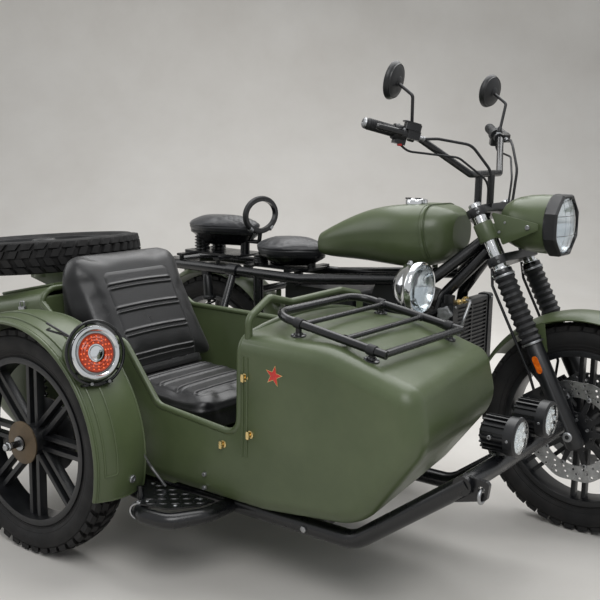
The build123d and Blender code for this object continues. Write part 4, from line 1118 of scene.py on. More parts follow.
# %% [markdown]
# ## Sidecar fender and its lamp
# The fender is pressed and has a raised field with a D-shaped outline on its
# flank, and a lip that is rolled twice. Both are swept along the wheel's arc.
# Its lamp is black with a polished ring and an orange ring of light inside, and
# a hoop of black wire guards it.

# %% Fender sheet with its ridges
soft_copy("fender_sheet", "sidecar_fender", 2, green_paint)
fender_radius, fender_fall, fender_half = 375, 20, 88


def fender_point(angle, across, lift=0.0):
    """Point on the fender: angle up from the front, across outward from its middle."""
    r = (fender_radius - fender_fall * (across / fender_half) ** 2 + lift) / 1000
    a = radians(angle)
    return side_hub + Vector((r * cos(a), -across / 1000, r * sin(a)))


form = bmesh.new()
flank = [fender_point(a, 66, 0.2) for a in range(-2, 172, 3)]
crown_line = [fender_point(a, 30, 0.2) for a in range(172, -3, -3)]
tube(form, bent(flank + crown_line + flank[:1], 0.02, 4)[:-1], 0.0032, 8, closed=True)
for across in (83, -84):
    tube(form, [fender_point(a, across, -0.6) for a in range(-13, 194, 3)], 0.0036, 10)
for a in (-13, 193):
    tube(form, [fender_point(a, across, -2) for across in range(-84, 85, 12)], 0.0034, 10)
keep("fender_ridges", form, green_paint)

# %% Lamp of the fender
lamp_way = Vector((0.95, -0.2, 0.24)).normalized()
lamp_spot = place(600, -1185, 634)
_, side, rise = foot_frame(lamp_way)
turned("fender_lamp_bowl", lamp_spot, lamp_way,
       [(0, -22), (44, -22), (62, -14), (72, -6), (74, 2), (72, 4), (66, 4)], 64,
       black_plastic, corner=40, stands_for=("fender_lamp",))
turned("fender_lamp_ring", lamp_spot, lamp_way,
       [(73, 0), (72, 6), (69, 9.5), (65, 10.5), (61, 9.5), (58, 5.5), (56, 4)], 72, chrome)
turned("light_ring", lamp_spot, lamp_way,
       [(51, 3.6), (49, 6), (44, 4.6), (40, 6.6), (36, 4.8), (32, 6.8), (28, 4.8), (24, 6)], 64, amber_guide)
form = bmesh.new()
for ring_at, dots in ((28, 12), (36, 15), (44, 19)):
    for spot, _ in round_about(lamp_spot, lamp_way, ring_at / 1000, dots, pi * (ring_at % 8) / 6 / dots):
        lathe(form, spot + lamp_way * 0.0044, lamp_way, [(2.6, 0), (2.08, 2.4), (0, 3.4)], 8)
keep("light_dots", form, lit_dots)
turned("lamp_inner_rim", lamp_spot, lamp_way, [(57, 3), (56, 5.4), (52.5, 6), (51, 4), (50.5, 2)], 64,
       cast_aluminium)
turned("lamp_middle", lamp_spot, lamp_way,
       [(24, 2), (23.6, 5.6), (21, 6.4), (20, 4), (18, 7), (12, 9), (0, 9.6)], 40, reflector)

form = bmesh.new()
hoop = []
for k in range(48):
    a = 2 * pi * k / 48
    hoop.append(lamp_spot + lamp_way * (0.001 + 0.005 * sin(a)) + spoke(lamp_way, a) * 0.084)
tube(form, hoop, 0.0042, 10, closed=True)
for a in (0.55 * pi, 1.22 * pi, 1.78 * pi):
    start = lamp_spot + spoke(lamp_way, a) * 0.0815
    tube(form, [start, start - lamp_way * 0.02 - spoke(lamp_way, a) * 0.014], 0.0035, 8)
outward = side if side.y < 0 else -side
for lift in (0.030, 0.012):
    start = lamp_spot + outward * 0.062 + rise * 0.05 - lamp_way * 0.002
    tube(form, [start, start + outward * 0.018 + Vector((-0.07, 0.0, lift)),
                start + Vector((-0.10, 0.012, lift * 0.6))], 0.0032, 8)
plate(form, lamp_spot - rise * 0.078 - lamp_way * 0.012, side, lamp_way,
      [(-46, -14), (46, -14), (40, 12), (-40, 12)], 0.005)
keep("lamp_guard", form, black_coat, corner=30)
form = bmesh.new()
for offset in (-0.026, 0.026):
    bolt(form, lamp_spot - rise * 0.079 + side * offset + lamp_way * 0.006, lamp_way, 9, 4)
keep("lamp_bracket_bolts", form, cast_aluminium, corner=30)

# %% Bolts and stay of the fender
form = bmesh.new()
bolt(form, fender_point(-6, -20, -0.5), Vector((cos(radians(-6)), 0, sin(radians(-6)))), 22, 7)
for angle in (60, 120, 176):
    bolt(form, fender_point(angle, -40), Vector((cos(radians(angle)), 0.1, sin(radians(angle)))), 12, 5)
tube(form, bent([fender_point(4, -70, -8), place(664, -1050, 300), place(690, -1020, 240)], 0.03), 0.0045, 10)
keep("fender_fasteners", form, cast_aluminium, corner=30)

# %% [markdown]
# ## Step
# The tread is chequer plate: raised tears of two directions, about 26 mm long
# and 2.6 mm high, rolled into a steel plate. The black tube round it carries
# bright clamp rings.

# %% Step tread and clamps
tread_edge = [(600, -1002), (856, -1002), (850, -1050), (800, -1122), (716, -1144), (690, -1100),
              (640, -1050)]
step_way = [(560, -952, 209), (560, -1036, 209), (642, -1044, 209), (690, -1104, 209), (722, -1150, 206),
            (806, -1128, 201), (866, -1044, 208), (866, -952, 208)]
form = bmesh.new()
tube(form, bent([place(*corner) for corner in step_way], 0.07, 8), 0.021, 24)
plate(form, place(0, 0, 230), ahead_way, left_way, tread_edge[::-1], 0.004)
tube(form, [place(686, -1104, 216), place(676, -1104, 262)], 0.008, 14)
keep("step_tube", form, black_coat, stands_for=("step_board",))


def on_tread(x, y, margin=9):
    """Whether a chequer tear at a place lies on the plate, clear of its edge."""
    inside = True
    for (x0, y0), (x1, y1) in zip(tread_edge, tread_edge[1:] + tread_edge[:1]):
        across_edge = ((x1 - x0) * (y - y0) - (y1 - y0) * (x - x0)) / hypot(x1 - x0, y1 - y0)
        inside = inside and across_edge < -margin
    return inside


form = bmesh.new()
tear_half_length, tear_half_width, tear_height = 0.0132, 0.0028, 0.0026
tear_pitch_x, tear_pitch_y = 25, 22
tears = 0
for column in range(-3, 16):
    for row in range(-2, 12):
        x, y = 590 + column * tear_pitch_x, -1150 + row * tear_pitch_y
        if not on_tread(x, y):
            continue
        a = pi / 4 if (column + row) % 2 else -pi / 4
        long_way = Vector((cos(a), sin(a), 0)) * tear_half_length
        wide_way = Vector((-sin(a), cos(a), 0)) * tear_half_width
        foot = place(x, y, 233.6)
        rim = [foot + long_way * sx + wide_way * sy for sx, sy in
               ((-1, 0), (-0.4, -1), (0.4, -1), (1, 0), (0.4, 1), (-0.4, 1))]
        low = [form.verts.new(p) for p in rim]
        high = [form.verts.new(foot + (p - foot) * 0.6 + up_way * tear_height) for p in rim]
        form.faces.new(high)
        skin(form, (low, high))
        tears += 1
print(tears, "tears in the tread")
keep("tread_tears", form, black_coat, corner=30)
form = bmesh.new()
clamp_at = place(700, -1130, 207)
lathe(form, clamp_at, (26, -48, -3),
      [(20.5, -9), (24.4, -9), (25.4, -7), (25.4, 7), (24.4, 9), (20.5, 9)], 32)
bolt(form, clamp_at + Vector((0.0, -0.004, 0.023)), up_way, 10, 5)
for x, y in ((640, -1018), (820, -1018), (800, -1095), (720, -1120)):
    lathe(form, place(x, y, 234), up_way, [(6, -1), (6, 1.4), (3.6, 2.6), (0, 3)], 14)
keep("step_fasteners", form, cast_aluminium, corner=30)

# %% [markdown]
# ## Saddles
# Each saddle is foam on a pressed base under thick leather, its top stitched to
# a side band. A plan outline is drawn as the hull of two circles and crowned,
# swelled by a cloth simulation with inner pressure, held where it is nailed to
# its base, and then dished.

# %% Saddle pads
saddle_thickness, seam_below_top, quilt_pitch = 68, 34, 26
dish_across, dish_along = 17, 12
# each: CAD part, rear end, length, large radius, small radius, underside, depth of its pan
saddles = (("rider_saddle", 208, 295, 128, 52, 762, 30), ("pillion_saddle", -140, 325, 118, 58, 822, 42))


def saddle_rows(form, rear, length, broad, narrow, underside, layers, steps):
    """Skin over plan outlines: each the hull of a large circle behind and a small one in front."""
    middle_rear, middle_front = rear + broad, rear + length - narrow
    lean = acos((broad - narrow) / (middle_front - middle_rear))
    rows = []
    for grow, height in layers:
        row = []
        for k in range(steps):
            a = 2 * pi * k / steps
            ahead = abs((a + pi) % (2 * pi) - pi) < lean
            middle, radius = (middle_front, narrow) if ahead else (middle_rear, broad)
            row.append(form.verts.new(place(middle + (radius + grow) * cos(a), (radius + grow) * sin(a),
                                            underside + height)))
        rows.append(row)
    skin(form, rows)
    return rows


def saddle(node, rear, length, broad, narrow, underside):
    """Padded saddle with a stitched top and a side band that tapers downwards."""
    form = bmesh.new()
    layers = ((-26, 3), (-14, 10), (-7, 24), (-5, saddle_thickness - 20), (-12, saddle_thickness - 9),
              (-30, saddle_thickness - 4))
    rows = saddle_rows(form, rear, length, broad, narrow, underside, layers, 40)
    form.faces.new(rows[0][::-1])
    form.faces.new(rows[-1])
    pad = even_pad(node + "_cover", form, 0.0075)
    board = (underside + 16) / 1000
    swell(pad, 2.2, 0.008, lambda co: co.z < board)
    subdivide_once(pad)
    top = underside + saddle_thickness
    seam = top - seam_below_top
    for vertex in pad.data.vertices:
        x = (vertex.co.x - rear_axle) * 1000
        y = (vertex.co.y - bike_middle) * 1000
        z = vertex.co.z * 1000
        share = (x - rear) / length
        dish = dish_across * (y / broad) ** 2 + dish_along * (2 * share - 1) ** 2
        press = max(0.0, min(1.0, (z - top + 44) / 36)) * dish
        if z > seam and share > 0.52 and abs(y) < narrow - 6:
            to_line = min(abs((x + slant * y + 400) % quilt_pitch - quilt_pitch / 2) for slant in (-0.9, 0.9))
            press += groove(to_line, 1.8, 3)
        out = Vector((vertex.co.x - place(rear + length * 0.45, 0, 0).x, vertex.co.y - bike_middle, 0))
        vertex.co -= out.normalized() * (groove(abs(z - seam), 2.6, 3) / 1000)
        vertex.co.z -= press / 1000
    finish_pad(pad, node, saddle_leather)


for *sizes, _ in saddles:
    saddle(*sizes)

# %% Base pans, springs and the grab ring
form = bmesh.new()
for _, rear, length, broad, narrow, underside, _ in saddles:
    rows = saddle_rows(form, rear, length, broad, max(narrow, 60), underside,
                       ((-70, -1), (-22, -1), (-12, 4), (-11, 12), (-14, 14)), 48)
    form.faces.new(rows[0][::-1])
for _, rear, length, broad, narrow, underside, deep in saddles:
    layers = ((-16, 2), (-24, -4), (-46, -deep * 0.55), (-62, -deep * 0.85), (-70, -deep))
    form.faces.new(saddle_rows(form, rear, length, broad, max(narrow, 78), underside, layers, 48)[-1])
keep("saddle_pans", form, black_coat)


def coil(form, foot, head, radius, wire, turns, steps=16):
    """A coil spring between two points, with its end turns laid flat."""
    way, side, rise = foot_frame(head - foot)
    length = (head - foot).length
    path = []
    for k in range(int(turns * steps) + 1):
        a = 2 * pi * k / steps
        lift = length * max(0.0, min(1.0, (k / (turns * steps) - 0.06) / 0.88))
        path.append(foot + way * lift + (side * cos(a) + rise * sin(a)) * radius)
    tube(form, path, wire, 8)


form = bmesh.new()
for x, y, low, high, radius, turns in ((240, 50, 730, 758, 0.025, 4), (-60, 48, 756, 818, 0.027, 6)):
    for hand in (1, -1):
        coil(form, place(x, hand * y, low), place(x, hand * y, high), radius, 0.0035, turns)
keep("saddle_springs", form, black_coat)

form = bmesh.new()
tube(form, [place(196, 94 * y, 905 + 64 * z) for y, z in circle(1, 64)], 0.0085, 16, closed=True)
keep("grab_ring_rubber", form, soft_rubber)
form = bmesh.new()
for hand in (1, -1):
    lathe(form, place(196, hand * 60, 853), (0, 0.8 * hand, 0.6),
          [(9.2, -9), (10, -8), (10, 8), (9.2, 9)], 20)
for hand in (1, -1):
    stem = [place(196, hand * 62, 852), place(186, hand * 20, 842), place(150, 0, 806)]
    tube(form, bent(stem, 0.02), 0.0045, 10)
keep("ring_collars", form, cast_aluminium)

# %% [markdown]
# ## Hand controls and mirrors
# The grips are rubber sleeves with ribs against slipping, and a turned weight at
# each end takes the tremble out of the bar. Levers pivot on a clamp, and their
# hoses and cables run down behind the headlamp.

# %% Grips, levers and switches
rib_pitch = 6.4
rubber, metal, dark, red, hoses = (bmesh.new() for _ in range(5))
for hand in (1, -1):
    tip = place(926, hand * 420, 1247)
    run = Vector((0.6106, -hand * 0.7563, -0.2353)).normalized()
    ahead = Vector((0.7563, hand * 0.6106, 0)).normalized()
    along = run * hand
    ribs = [(16, 5)]
    for k in range(13):
        start = 8 + k * rib_pitch
        ribs += [(17.8, start), (17.8, start + 3.6), (16.4, start + 4.2), (16.4, start + 5.8)]
    lathe(rubber, tip, run, ribs + [(16, 92), (20, 92.5), (20, 96), (16, 96.5)], 28)
    lathe(metal, tip, -run,
          [(0, -2), (15.5, -2), (16.5, 0), (15, 5), (11, 8), (4, 8.5), (3.2, 6), (0, 6)], 28)
    housing = tip + run * 0.110
    plate(dark, housing - ahead * 0.004 - up_way * 0.034, along, ahead, rounded(38, 34, 8), 0.034)
    pivot = tip + run * 0.091 + Vector((0.040, 0, -0.006))
    lathe(dark, pivot - up_way * 0.010, up_way, [(0, -1), (10, 0), (11, 3), (11, 17), (10, 20), (0, 20)], 24)
    bolt(metal, pivot + up_way * 0.010, up_way, 11, 5)
    far = tip + Vector((0.048, 0, -0.010))
    blade = bent([pivot, pivot * 0.6 + far * 0.4 + ahead * 0.006, far], 0.08)
    tube(dark, blade, profile=[(0.0075 * x, 0.0095 * y) for x, y in circle(1, 14)])
    lathe(dark, far, far - pivot, [(0, -9), (6, -7), (9, -2), (9, 3), (6, 7.5), (0, 9)], 20)
    perch = tip + run * 0.142 + ahead * 0.022
    plate(dark, perch - up_way * 0.012, along, ahead, rounded(46, 34, 9), 0.026)
    if hand < 0:
        cover = perch + ahead * 0.004
        plate(dark, cover + up_way * 0.014, along, ahead, rounded(50, 38, 11), 0.020)
        plate(dark, cover + up_way * 0.034, along, ahead, rounded(53, 41, 12), 0.004)
        for offset in (-0.017, 0.017):
            bolt(metal, cover + up_way * 0.038 + run * offset, up_way, 6, 2.4)
    lathe(metal, perch + run * 0.023, run,
          [(0, 0), (8, 0), (8, 5), (5.5, 6), (5.5, 14), (7, 15), (7, 21), (4, 23), (0, 23)], 12)
    end = perch + run * 0.044
    hose = [end, end + run * 0.045 + up_way * 0.012]
    hose += [place(x, hand * y, z) for x, y, z in
             ((1142, 150, 1188), (1186, 98, 1110), (1184, 80, 1010), (1164, 62, 952))]
    tube(hoses, bent(hose, 0.06), 0.0045, 10)
    cable = [housing - up_way * 0.030, housing - up_way * 0.048 + run * 0.03]
    cable += [place(x, hand * y, z) for x, y, z in
              ((1120, 190, 1150), (1172, 92, 1080), (1176, 64, 990), (1160, 50, 950))]
    tube(hoses, bent(cable, 0.06), 0.0035, 10)
    bolt(metal, housing + up_way * 0.0235, up_way, 7, 3)
# the right hand's housing also carries two red switches
button = tip + run * 0.112 - up_way * 0.034
lathe(red, button + ahead * 0.006, -up_way, [(0, -2), (8, -2), (8, 3), (6.5, 5), (0, 5.5)], 20)
plate(red, housing - ahead * 0.022 + up_way * 0.002, run, up_way, rounded(13, 9, 3), -0.005)
keep("grip_rubbers", rubber, soft_rubber, "steering")
keep("control_metal", metal, cast_aluminium, "steering", 30)
keep("levers_and_housings", dark, black_coat, "steering", 38)
keep("switch_buttons", red, red_button, "steering")
keep("hoses_and_cables", hoses, soft_rubber, "steering")

# %% Mirrors and their glass
backs, glass, metal = (bmesh.new() for _ in range(3))
for hand in (1, -1):
    face = place(960, hand * 330, 1375)
    way = Vector((0.94, -hand * 0.12, -0.2)).normalized()
    lathe(backs, face, way, [(52, -1.6), (56.4, -2), (57.8, 0), (57.6, 4), (54, 11), (46, 17), (33, 21),
                             (17, 23.4), (0, 24)], 56)
    lathe(backs, face + way * 0.018, way, [(17, 0), (16, 7), (11, 10), (0, 11)], 28)
    lathe(glass, face, -way, [(0, 1.4), (34, 1.1), (51, 0.4), (52.6, -0.6)], 56)
    lathe(metal, place(1019, hand * 305, 1222), up_way,
          [(5, -1), (9.5, 0), (9.5, 8), (8.4, 9.5), (5, 9.5)], 6)
    lathe(backs, place(1019, hand * 305, 1231), (0.1, hand * 0.2, 1),
          [(8, 0), (9, 3), (7.4, 16), (5, 20)], 20)
keep("mirror_backs", backs, black_plastic, "steering")
keep("mirror_glass", glass, mirror_glass, "steering")
keep("mirror_nuts", metal, cast_aluminium, "steering", 25)

# %% [markdown]
# ## Fuel tank and radiator
# A strap of sheet is folded over the tank ahead of its cap. Where it lies is
# found with rays towards the tank's middle, as a cord would be laid round it.

# %% Tank


def girth(x, lift, first=-28, last=208, steps=48):
    """Points round the tank in a slanted plane, between two angles, lifted in metres."""
    middle = place(x, 0, 880)
    points = []
    for step in range(steps + 1):
        out = spoke((1, 0, 0.16), radians(first + (last - first) * step / steps))
        hit, where, _, _ = frame["nodes"]["fuel_tank"].ray_cast(middle + out * 0.6, -out)
        if hit:
            points.append(where + out * lift)
    return points


form = bmesh.new()
for x in (968, 986):
    tube(form, girth(x, 0.0004), 0.0016, 8)
keep("tank_beads", form, green_paint)
form = bmesh.new()
tube(form, girth(977, -0.0002),
     profile=[(0.0075, -0.001), (0.0075, 0.0009), (-0.0075, 0.0009), (-0.0075, -0.001)])
keep("tank_strap", form, green_paint, corner=30)
form = bmesh.new()
lathe(form, place(890, -30, 1000), up_way,
      [(35, -12), (37.5, -11), (37.5, 0), (36, 3.5), (31, 5), (29.5, 3.4), (13, 3.4), (12, 6.4),
       (0, 6.8)], 56)
for x, y in circle(33.5, 6, 890, -30):
    bolt(form, place(x, y, 1003.6), up_way, 4, 1.6, 8)
keep("tank_cap", form, chrome, corner=30)
form = bmesh.new()
plate(form, place(858, -30, 1004), ahead_way, left_way, rounded(16, 20, 4), 0.004)
plate(form, place(896, -30, 1005.6), ahead_way, left_way, rounded(24, 12, 5), 0.003)
keep("cap_hinge", form, black_coat, corner=30)

# %% Radiator cap and fittings


def cap_radius(share, angle):
    """Radius of the cap, with five shallow lobes for the fingers at its widest."""
    return (24 + (2.4 * cos(5 * angle) if share > 0.9 else 0)) * share


form = bmesh.new()
shaped(form, place(1076, -146, 654), (0.3, -0.95, 0.08),
       [(0.7, 0), (0.72, 4), (0.96, 5), (1, 7), (1, 15), (0.94, 17.5), (0.72, 18), (0.7, 17), (0.4, 17),
        (0.38, 18.4), (0.02, 18.8)], 60, cap_radius)
keep("radiator_cap", form, cast_aluminium, corner=30)
form = bmesh.new()
for x, y, z, way in ((1104, -122, 692, (1, 0, 0.2)), (1104, -84, 690, (1, -0.3, 0.2)),
                     (1100, -62, 692, (0.8, -0.4, 0.5))):
    lathe(form, place(x, y, z), way,
          [(0, -6), (8, -6), (8, 2), (9.4, 3), (9.4, 9), (6.4, 10), (6.4, 17), (4, 18), (0, 18)], 6)
keep("coolant_fittings", form, brass, corner=25)
form = bmesh.new()
drain = [(1112, -84, 694), (1140, -96, 700), (1132, -126, 640), (1112, -132, 560)]
tube(form, bent([place(*corner) for corner in drain], 0.03), 0.005, 10)
for z in (676, 438):
    for y in (-132, 132):
        bolt(form, place(1104, y, z), ahead_way, 9, 4)
for y, z in ((126, 604), (134, 470)):
    lathe(form, place(1048, y, z), ahead_way, [(12, -5), (13.6, -5), (13.6, 5), (12, 5)], 24)
keep("radiator_fasteners", form, cast_aluminium, corner=30)

# %% [markdown]
# ## Engine, exhaust and springs
# The covers are held by a ring of socket screws. Each shock absorber is a
# damper tube with a rod above it, and its coil is wound from round wire.

# %% Engine fasteners
form = bmesh.new()
for x, z, r, reach in ((560, 385, 92, 168), (770, 380, 78, 160), (474, 350, 56, 140)):
    for hand in (1, -1):
        for k in range(8):
            a = 2 * pi * k / 8 + 0.3
            bolt(form, place(x + 0.84 * r * cos(a), hand * (reach - 0.6), z + 0.84 * r * sin(a)),
                 sideways(hand), 8.5, 4.5)
for x in range(770, 909, 46):
    for hand in (1, -1):
        bolt(form, place(x, hand * 86, 650), sideways(hand), 8.5, 4.5)
keep("engine_screws", form, cast_aluminium, corner=30)
form = bmesh.new()
for hand in (1, -1):
    out = sideways(hand)
    lathe(form, place(560, hand * 166, 385), out,
          [(0, -2), (26, -2), (26, -1), (24, 0.6), (8, 1.4), (0, 1.4)], 36)
    lathe(form, place(640, hand * 98, 300), out, [(0, 0), (15, 0), (15, 6), (12, 9), (0, 9)], 8)
keep("engine_plugs", form, bronze_cast, corner=30)

# %% Exhaust clamps and end
pipe_way = Vector((-1, 0, 0.2)).normalized()
silencer = place(330, 200, 226)
form = bmesh.new()
for along, r in ((0.008, 44.4), (0.150, 46.8), (0.300, 49.4)):
    foot = silencer + pipe_way * along
    lathe(form, foot, pipe_way,
          [(r, -9), (r + 1.8, -9), (r + 2.2, -7), (r + 2.2, 7), (r + 1.8, 9), (r, 9)], 48)
    bolt(form, foot + up_way * ((r + 2) / 1000), up_way, 9, 5)
for y in (-36, 36):
    lathe(form, place(928, y, 640), ahead_way, [(19, -4), (30, -4), (31, -2), (31, 3), (19, 3)], 32)
keep("exhaust_clamps", form, cast_aluminium, corner=30)
turned("silencer_end", silencer + pipe_way * 0.43, pipe_way,
       [(51.6, -14), (53.4, -13), (53.4, -2), (50, 2), (27, 6), (23, 5), (22, -6), (21, -20), (0, -20)], 56,
       burnt_steel)

# %% Shock absorbers
springs, tubes, eyes = (bmesh.new() for _ in range(3))
for foot, head, size, low, high in ((place(70, 125, 347), place(34, 125, 679), 27, 40, 235),
                                    (place(70, -125, 347), place(34, -125, 679), 27, 40, 235),
                                    (place(196, -1032, 333), place(150, -1032, 566), 19, 30, 190)):
    way = (head - foot).normalized()
    span = (head - foot).length * 1000
    coil(springs, foot + way * (low / 1000), foot + way * (high / 1000), (size - 4.2) / 1000, 0.0042, 9)
    lathe(tubes, foot, way,
          [(0, 0), (size * 0.45, 0), (size * 0.52, 10), (size * 0.52, low - 8), (size, low - 6), (size, low),
           (size * 0.55, low + 2), (size * 0.55, high - 60), (size * 0.28, high - 56),
           (size * 0.28, high - 2), (size, high), (size, high + 6), (size * 0.7, high + 12),
           (size * 0.62, span - 12), (size * 0.4, span), (0, span)], 36)
    for end in (foot, head):
        lathe(eyes, end - left_way * 0.013, left_way,
              [(0, 0), (9, 0), (9, 1), (size * 0.62, 1), (size * 0.62, 25), (9, 25), (9, 26), (0, 26)], 28)
lathe(tubes, place(150, -1001, 572), right_way, [(0, 0), (11, 0), (11, 43), (0, 43)], 24)
keep("shock_springs", springs, black_coat)
keep("shock_dampers", tubes, cast_black, stands_for=("shock_absorbers",))
keep("shock_eyes", eyes, soft_rubber)

# %% [markdown]
# ## Lamps
# Each lamp is a bowl, a bright reflector and a domed glass held by a rim. The
# spot lamp is chromed. The fog lamps have seven small light sources each.

# %% Spot lamp and fog lamps
spot_foot = place(0, -300, 752)
turned("spot_bowl", spot_foot, ahead_way,
       [(0, 985), (20, 985.6), (38, 991), (56, 1003), (69, 1020), (77, 1040), (80.5, 1054), (83, 1056),
        (84, 1060), (84, 1068), (82, 1074), (78, 1077), (75.5, 1075)], 64,
       chrome, corner=40, stands_for=("spot_lamp",))
turned("spot_reflector", spot_foot, ahead_way,
       [(75.5, 1072), (66, 1052), (48, 1036), (24, 1028), (0, 1026)], 56, reflector)
turned("spot_glass", spot_foot, ahead_way,
       [(0, 1088), (30, 1086), (56, 1081), (76, 1074.5), (76, 1071.5), (56, 1078), (30, 1083), (0, 1085)], 56,
       clear_lens)
turned("spot_nut", place(1030, -300, 822), up_way, [(10, -4), (11, 0), (11, 5), (7, 7), (7, 12), (0, 13)], 6,
       cast_aluminium, corner=25)

bowls, glass, metal, cells = (bmesh.new() for _ in range(4))
for y in (-750, -560):
    foot = place(0, y, 504)
    lathe(bowls, foot, ahead_way, [(39, 1603.4), (30, 1605.2), (0, 1607.4)], 48)
    lathe(glass, foot, ahead_way,
          [(0, 1613.4), (22, 1612.4), (40, 1608.4), (40, 1607), (22, 1610.6), (0, 1611.4)], 48)
    for y_by, z_by in circle(22, 6) + [(0, 0)]:
        lathe(cells, foot + Vector((1.605, y_by / 1000, z_by / 1000)), ahead_way,
              [(7, 0), (6.6, 2), (4, 3.6), (0, 4)], 14)
    for hand in (1, -1):
        bolt(metal, foot + Vector((1.545, hand * 0.0405, 0)), sideways(hand), 12, 6)
        bolt(metal, foot + Vector((1.592, hand * 0.0475, 0)), sideways(hand), 7, 3)
    lathe(metal, foot + Vector((1.546, 0, -0.052)), up_way, [(14, -2), (14, 3), (13, 4)], 6)
keep("fog_reflectors", bowls, reflector)
keep("fog_glass", glass, clear_lens)
keep("fog_cells", cells, clear_lens)
keep("fog_bolts", metal, cast_aluminium, corner=30)

# %% Tail lamps and blank plate
rims, ribs = bmesh.new(), bmesh.new()
plate(rims, place(-352, 0, 520), left_way, up_way, rounded(103, 65, 17), 0.012)
for z in range(499, 542, 7):
    tube(ribs, [place(-376.4, -42, z), place(-376.4, 42, z)], 0.0016, 8)
lathe(rims, place(-76, -1153, 470), rear_way,
      [(33, -8), (36.5, -8), (37, -5), (37, 3), (36, 5), (33, 5)], 48)
for r in (8, 17, 26):
    lathe(ribs, place(-90, -1153, 470), rear_way, [(r - 1.6, -1), (r - 1, 1), (r + 1, 1), (r + 1.6, -1)], 40)
keep("tail_rims", rims, chrome, corner=30)
keep("tail_ribs", ribs, red_lens)
plate_up = Vector((0.16, 0, 1))
form = bmesh.new()
plate(form, place(-386, 0, 410), left_way, plate_up, rounded(170, 104, 10), 0.0016)
keep("blank_plate", form, cast_aluminium, corner=30)
form = bmesh.new()
plate(form, place(-384, 0, 410), left_way, plate_up, rounded(178, 112, 12), 0.0014)
for hand in (1, -1):
    tube(form, [place(-383, hand * 40, 436), place(-350, hand * 40, 446)], 0.006, 10)
keep("plate_holder", form, black_coat, corner=30)

# %% [markdown]
# ## Rack, rails and chassis fittings
# The rack stands on four flanges, each with two screws, that lie on the crowned
# deck. A shackle hangs in the hook plate, and clamps carry the struts.

# %% Flanges of the rack and clamps
rack_rear, rack_height, rack_slope = 985, 752, 0.165


def rack_top(x, y):
    """Point on the rack's sloping top bars."""
    return place(x, y, rack_height - rack_slope * (x - rack_rear))


flanges, screws, sleeves = (bmesh.new() for _ in range(3))
for x in (1070, 1290):
    for y in (-925, -530):
        _, where, normal, _ = bpy.data.objects["tub_sheet"].ray_cast(place(x, y, 800), -up_way)
        if normal.z < 0:
            normal = -normal
        lathe(flanges, where, normal, [(8, -1), (19, -1), (20, 0.6), (19, 3), (12, 4), (9.5, 9), (8, 9)], 28)
        _, side, _ = foot_frame(normal)
        for offset in (-0.015, 0.015):
            bolt(screws, where + side * offset + normal * 0.003, normal, 6.5, 3)
        lathe(sleeves, rack_top(x, y) - Vector((0.011, 0, -0.0018)), (1, 0, -rack_slope),
              [(11, 0), (13.4, 0), (14, 1.6), (14, 20.4), (13.4, 22), (11, 22)], 28)
for y, hand in ((-925, 1), (-530, -1)):
    for x in (1080, 1205):
        lathe(sleeves, rack_top(x, y + 9 * hand), sideways(hand), [(7, 0), (11, 0), (10, 5), (7, 9)], 20)
keep("rack_flanges", flanges, black_coat)
keep("rack_screws", screws, cast_aluminium, corner=30)
keep("rack_sleeves", sleeves, soft_rubber)

# %% Chassis fittings
form = bmesh.new()
tube(form, [place(1598, y, z) for y, z in circle(16, 32, -930, 411)], 0.0042, 10, closed=True)
for y, hand in ((-930, -1), (-404, 1)):
    for x in (-60, 560, 1120):
        lathe(form, place(x, y, 208.7), sideways(hand), [(0, 23), (9, 23), (9, 29), (6, 30), (0, 30)], 6)
for x in (430, 820):
    for z in (300, 262):
        bolt(form, place(x, wall_skin - 0.4, z), right_way, 13, 7)
keep("chassis_fittings", form, cast_aluminium, corner=30)

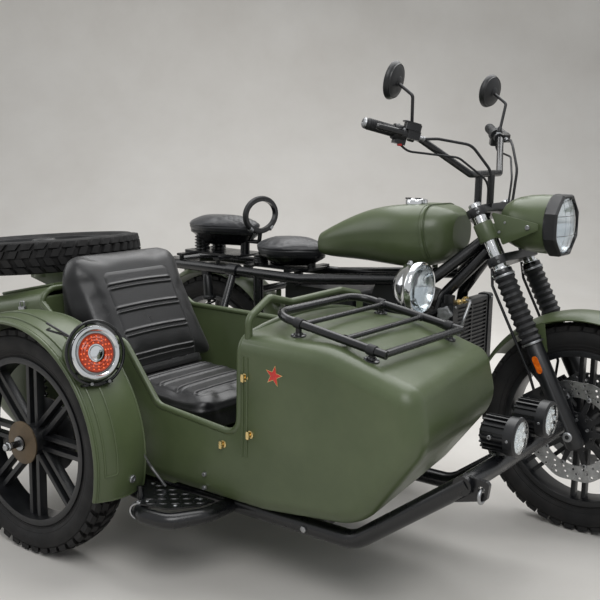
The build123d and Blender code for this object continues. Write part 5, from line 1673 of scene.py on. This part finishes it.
clamps, rings = bmesh.new(), bmesh.new()
for hand in (1, -1):
    leg, out = hand * leg_side, sideways(hand)
    lathe(clamps, fork_point(528, leg), fork_up,
          [(21, -4), (30, -4), (31, -2), (31, 12), (30, 14), (21, 14)], 36)
    lathe(rings, fork_point(542, leg), fork_up,
          [(20.8, 0), (26, 0), (26.6, 1.5), (26.6, 5), (26, 6.5), (20.8, 6.5)], 36)
    bolt(rings, fork_point(533, leg, -22) + out * 0.024, out, 10, 6)
keep("gaiter_clamps", clamps, black_coat, "steering")
keep("gaiter_rings", rings, chrome, "steering")

# %% Softened castings and sheets
soft_copy("lid_sheet", "trunk_lid", 2.0, green_paint)
soft_copy("yoke_castings", "yokes", 2.0, cast_black)

# %% [markdown]
# ## Floor and finish
# The floor is a wide pale sheet that isn't part of the machine. It rises behind
# the machine as a photographer's backdrop does. The world is white where the
# camera, a mirror or a lens looks at it.

# %% Floor and backdrop
form = bmesh.new()
reach, rise_start, rise_radius = 9.0, 3.4, 2.2
profile = [(-reach, 0), (rise_start, 0)]
for step in range(1, 13):
    a = pi / 2 * step / 12
    profile.append((rise_start + rise_radius * sin(a), rise_radius * (1 - cos(a))))
profile.append((rise_start + rise_radius, 6.5))
right, left = [[form.verts.new((x, y, z)) for y, z in profile] for x in (-reach, reach)]
for k in range(len(profile) - 1):
    form.faces.new((right[k], left[k], left[k + 1], right[k + 1]))
mesh = mesh_of("floor", form)
mesh.shade_smooth()
mesh.materials.append(floor_finish)
floor = new_object("floor", mesh)
floor.rotation_euler.z = turn
print("floor", len(mesh.polygons), "faces")

# %% Pale world where the camera, mirrors and lenses look
nodes, links = world.node_tree.nodes, world.node_tree.links
rays = nodes.new("ShaderNodeLightPath")
seen = rays.outputs["Is Camera Ray"]
for kind in ("Is Glossy Ray", "Is Transmission Ray"):
    either = nodes.new("ShaderNodeMath")
    either.operation = "MAXIMUM"
    links.new(seen, either.inputs[0])
    links.new(rays.outputs[kind], either.inputs[1])
    seen = either.outputs[0]
white = nodes.new("ShaderNodeBackground")
white.inputs["Color"].default_value = (0.93, 0.94, 0.95, 1)
white.inputs["Strength"].default_value = 0.7
blend = nodes.new("ShaderNodeMixShader")
for number, output in enumerate((seen, sky.outputs[0], white.outputs[0])):
    links.new(output, blend.inputs[number])
links.new(blend.outputs[0], nodes["World Output"].inputs["Surface"])
print("world", len(nodes), "nodes")

# %% Import of the json module
import json
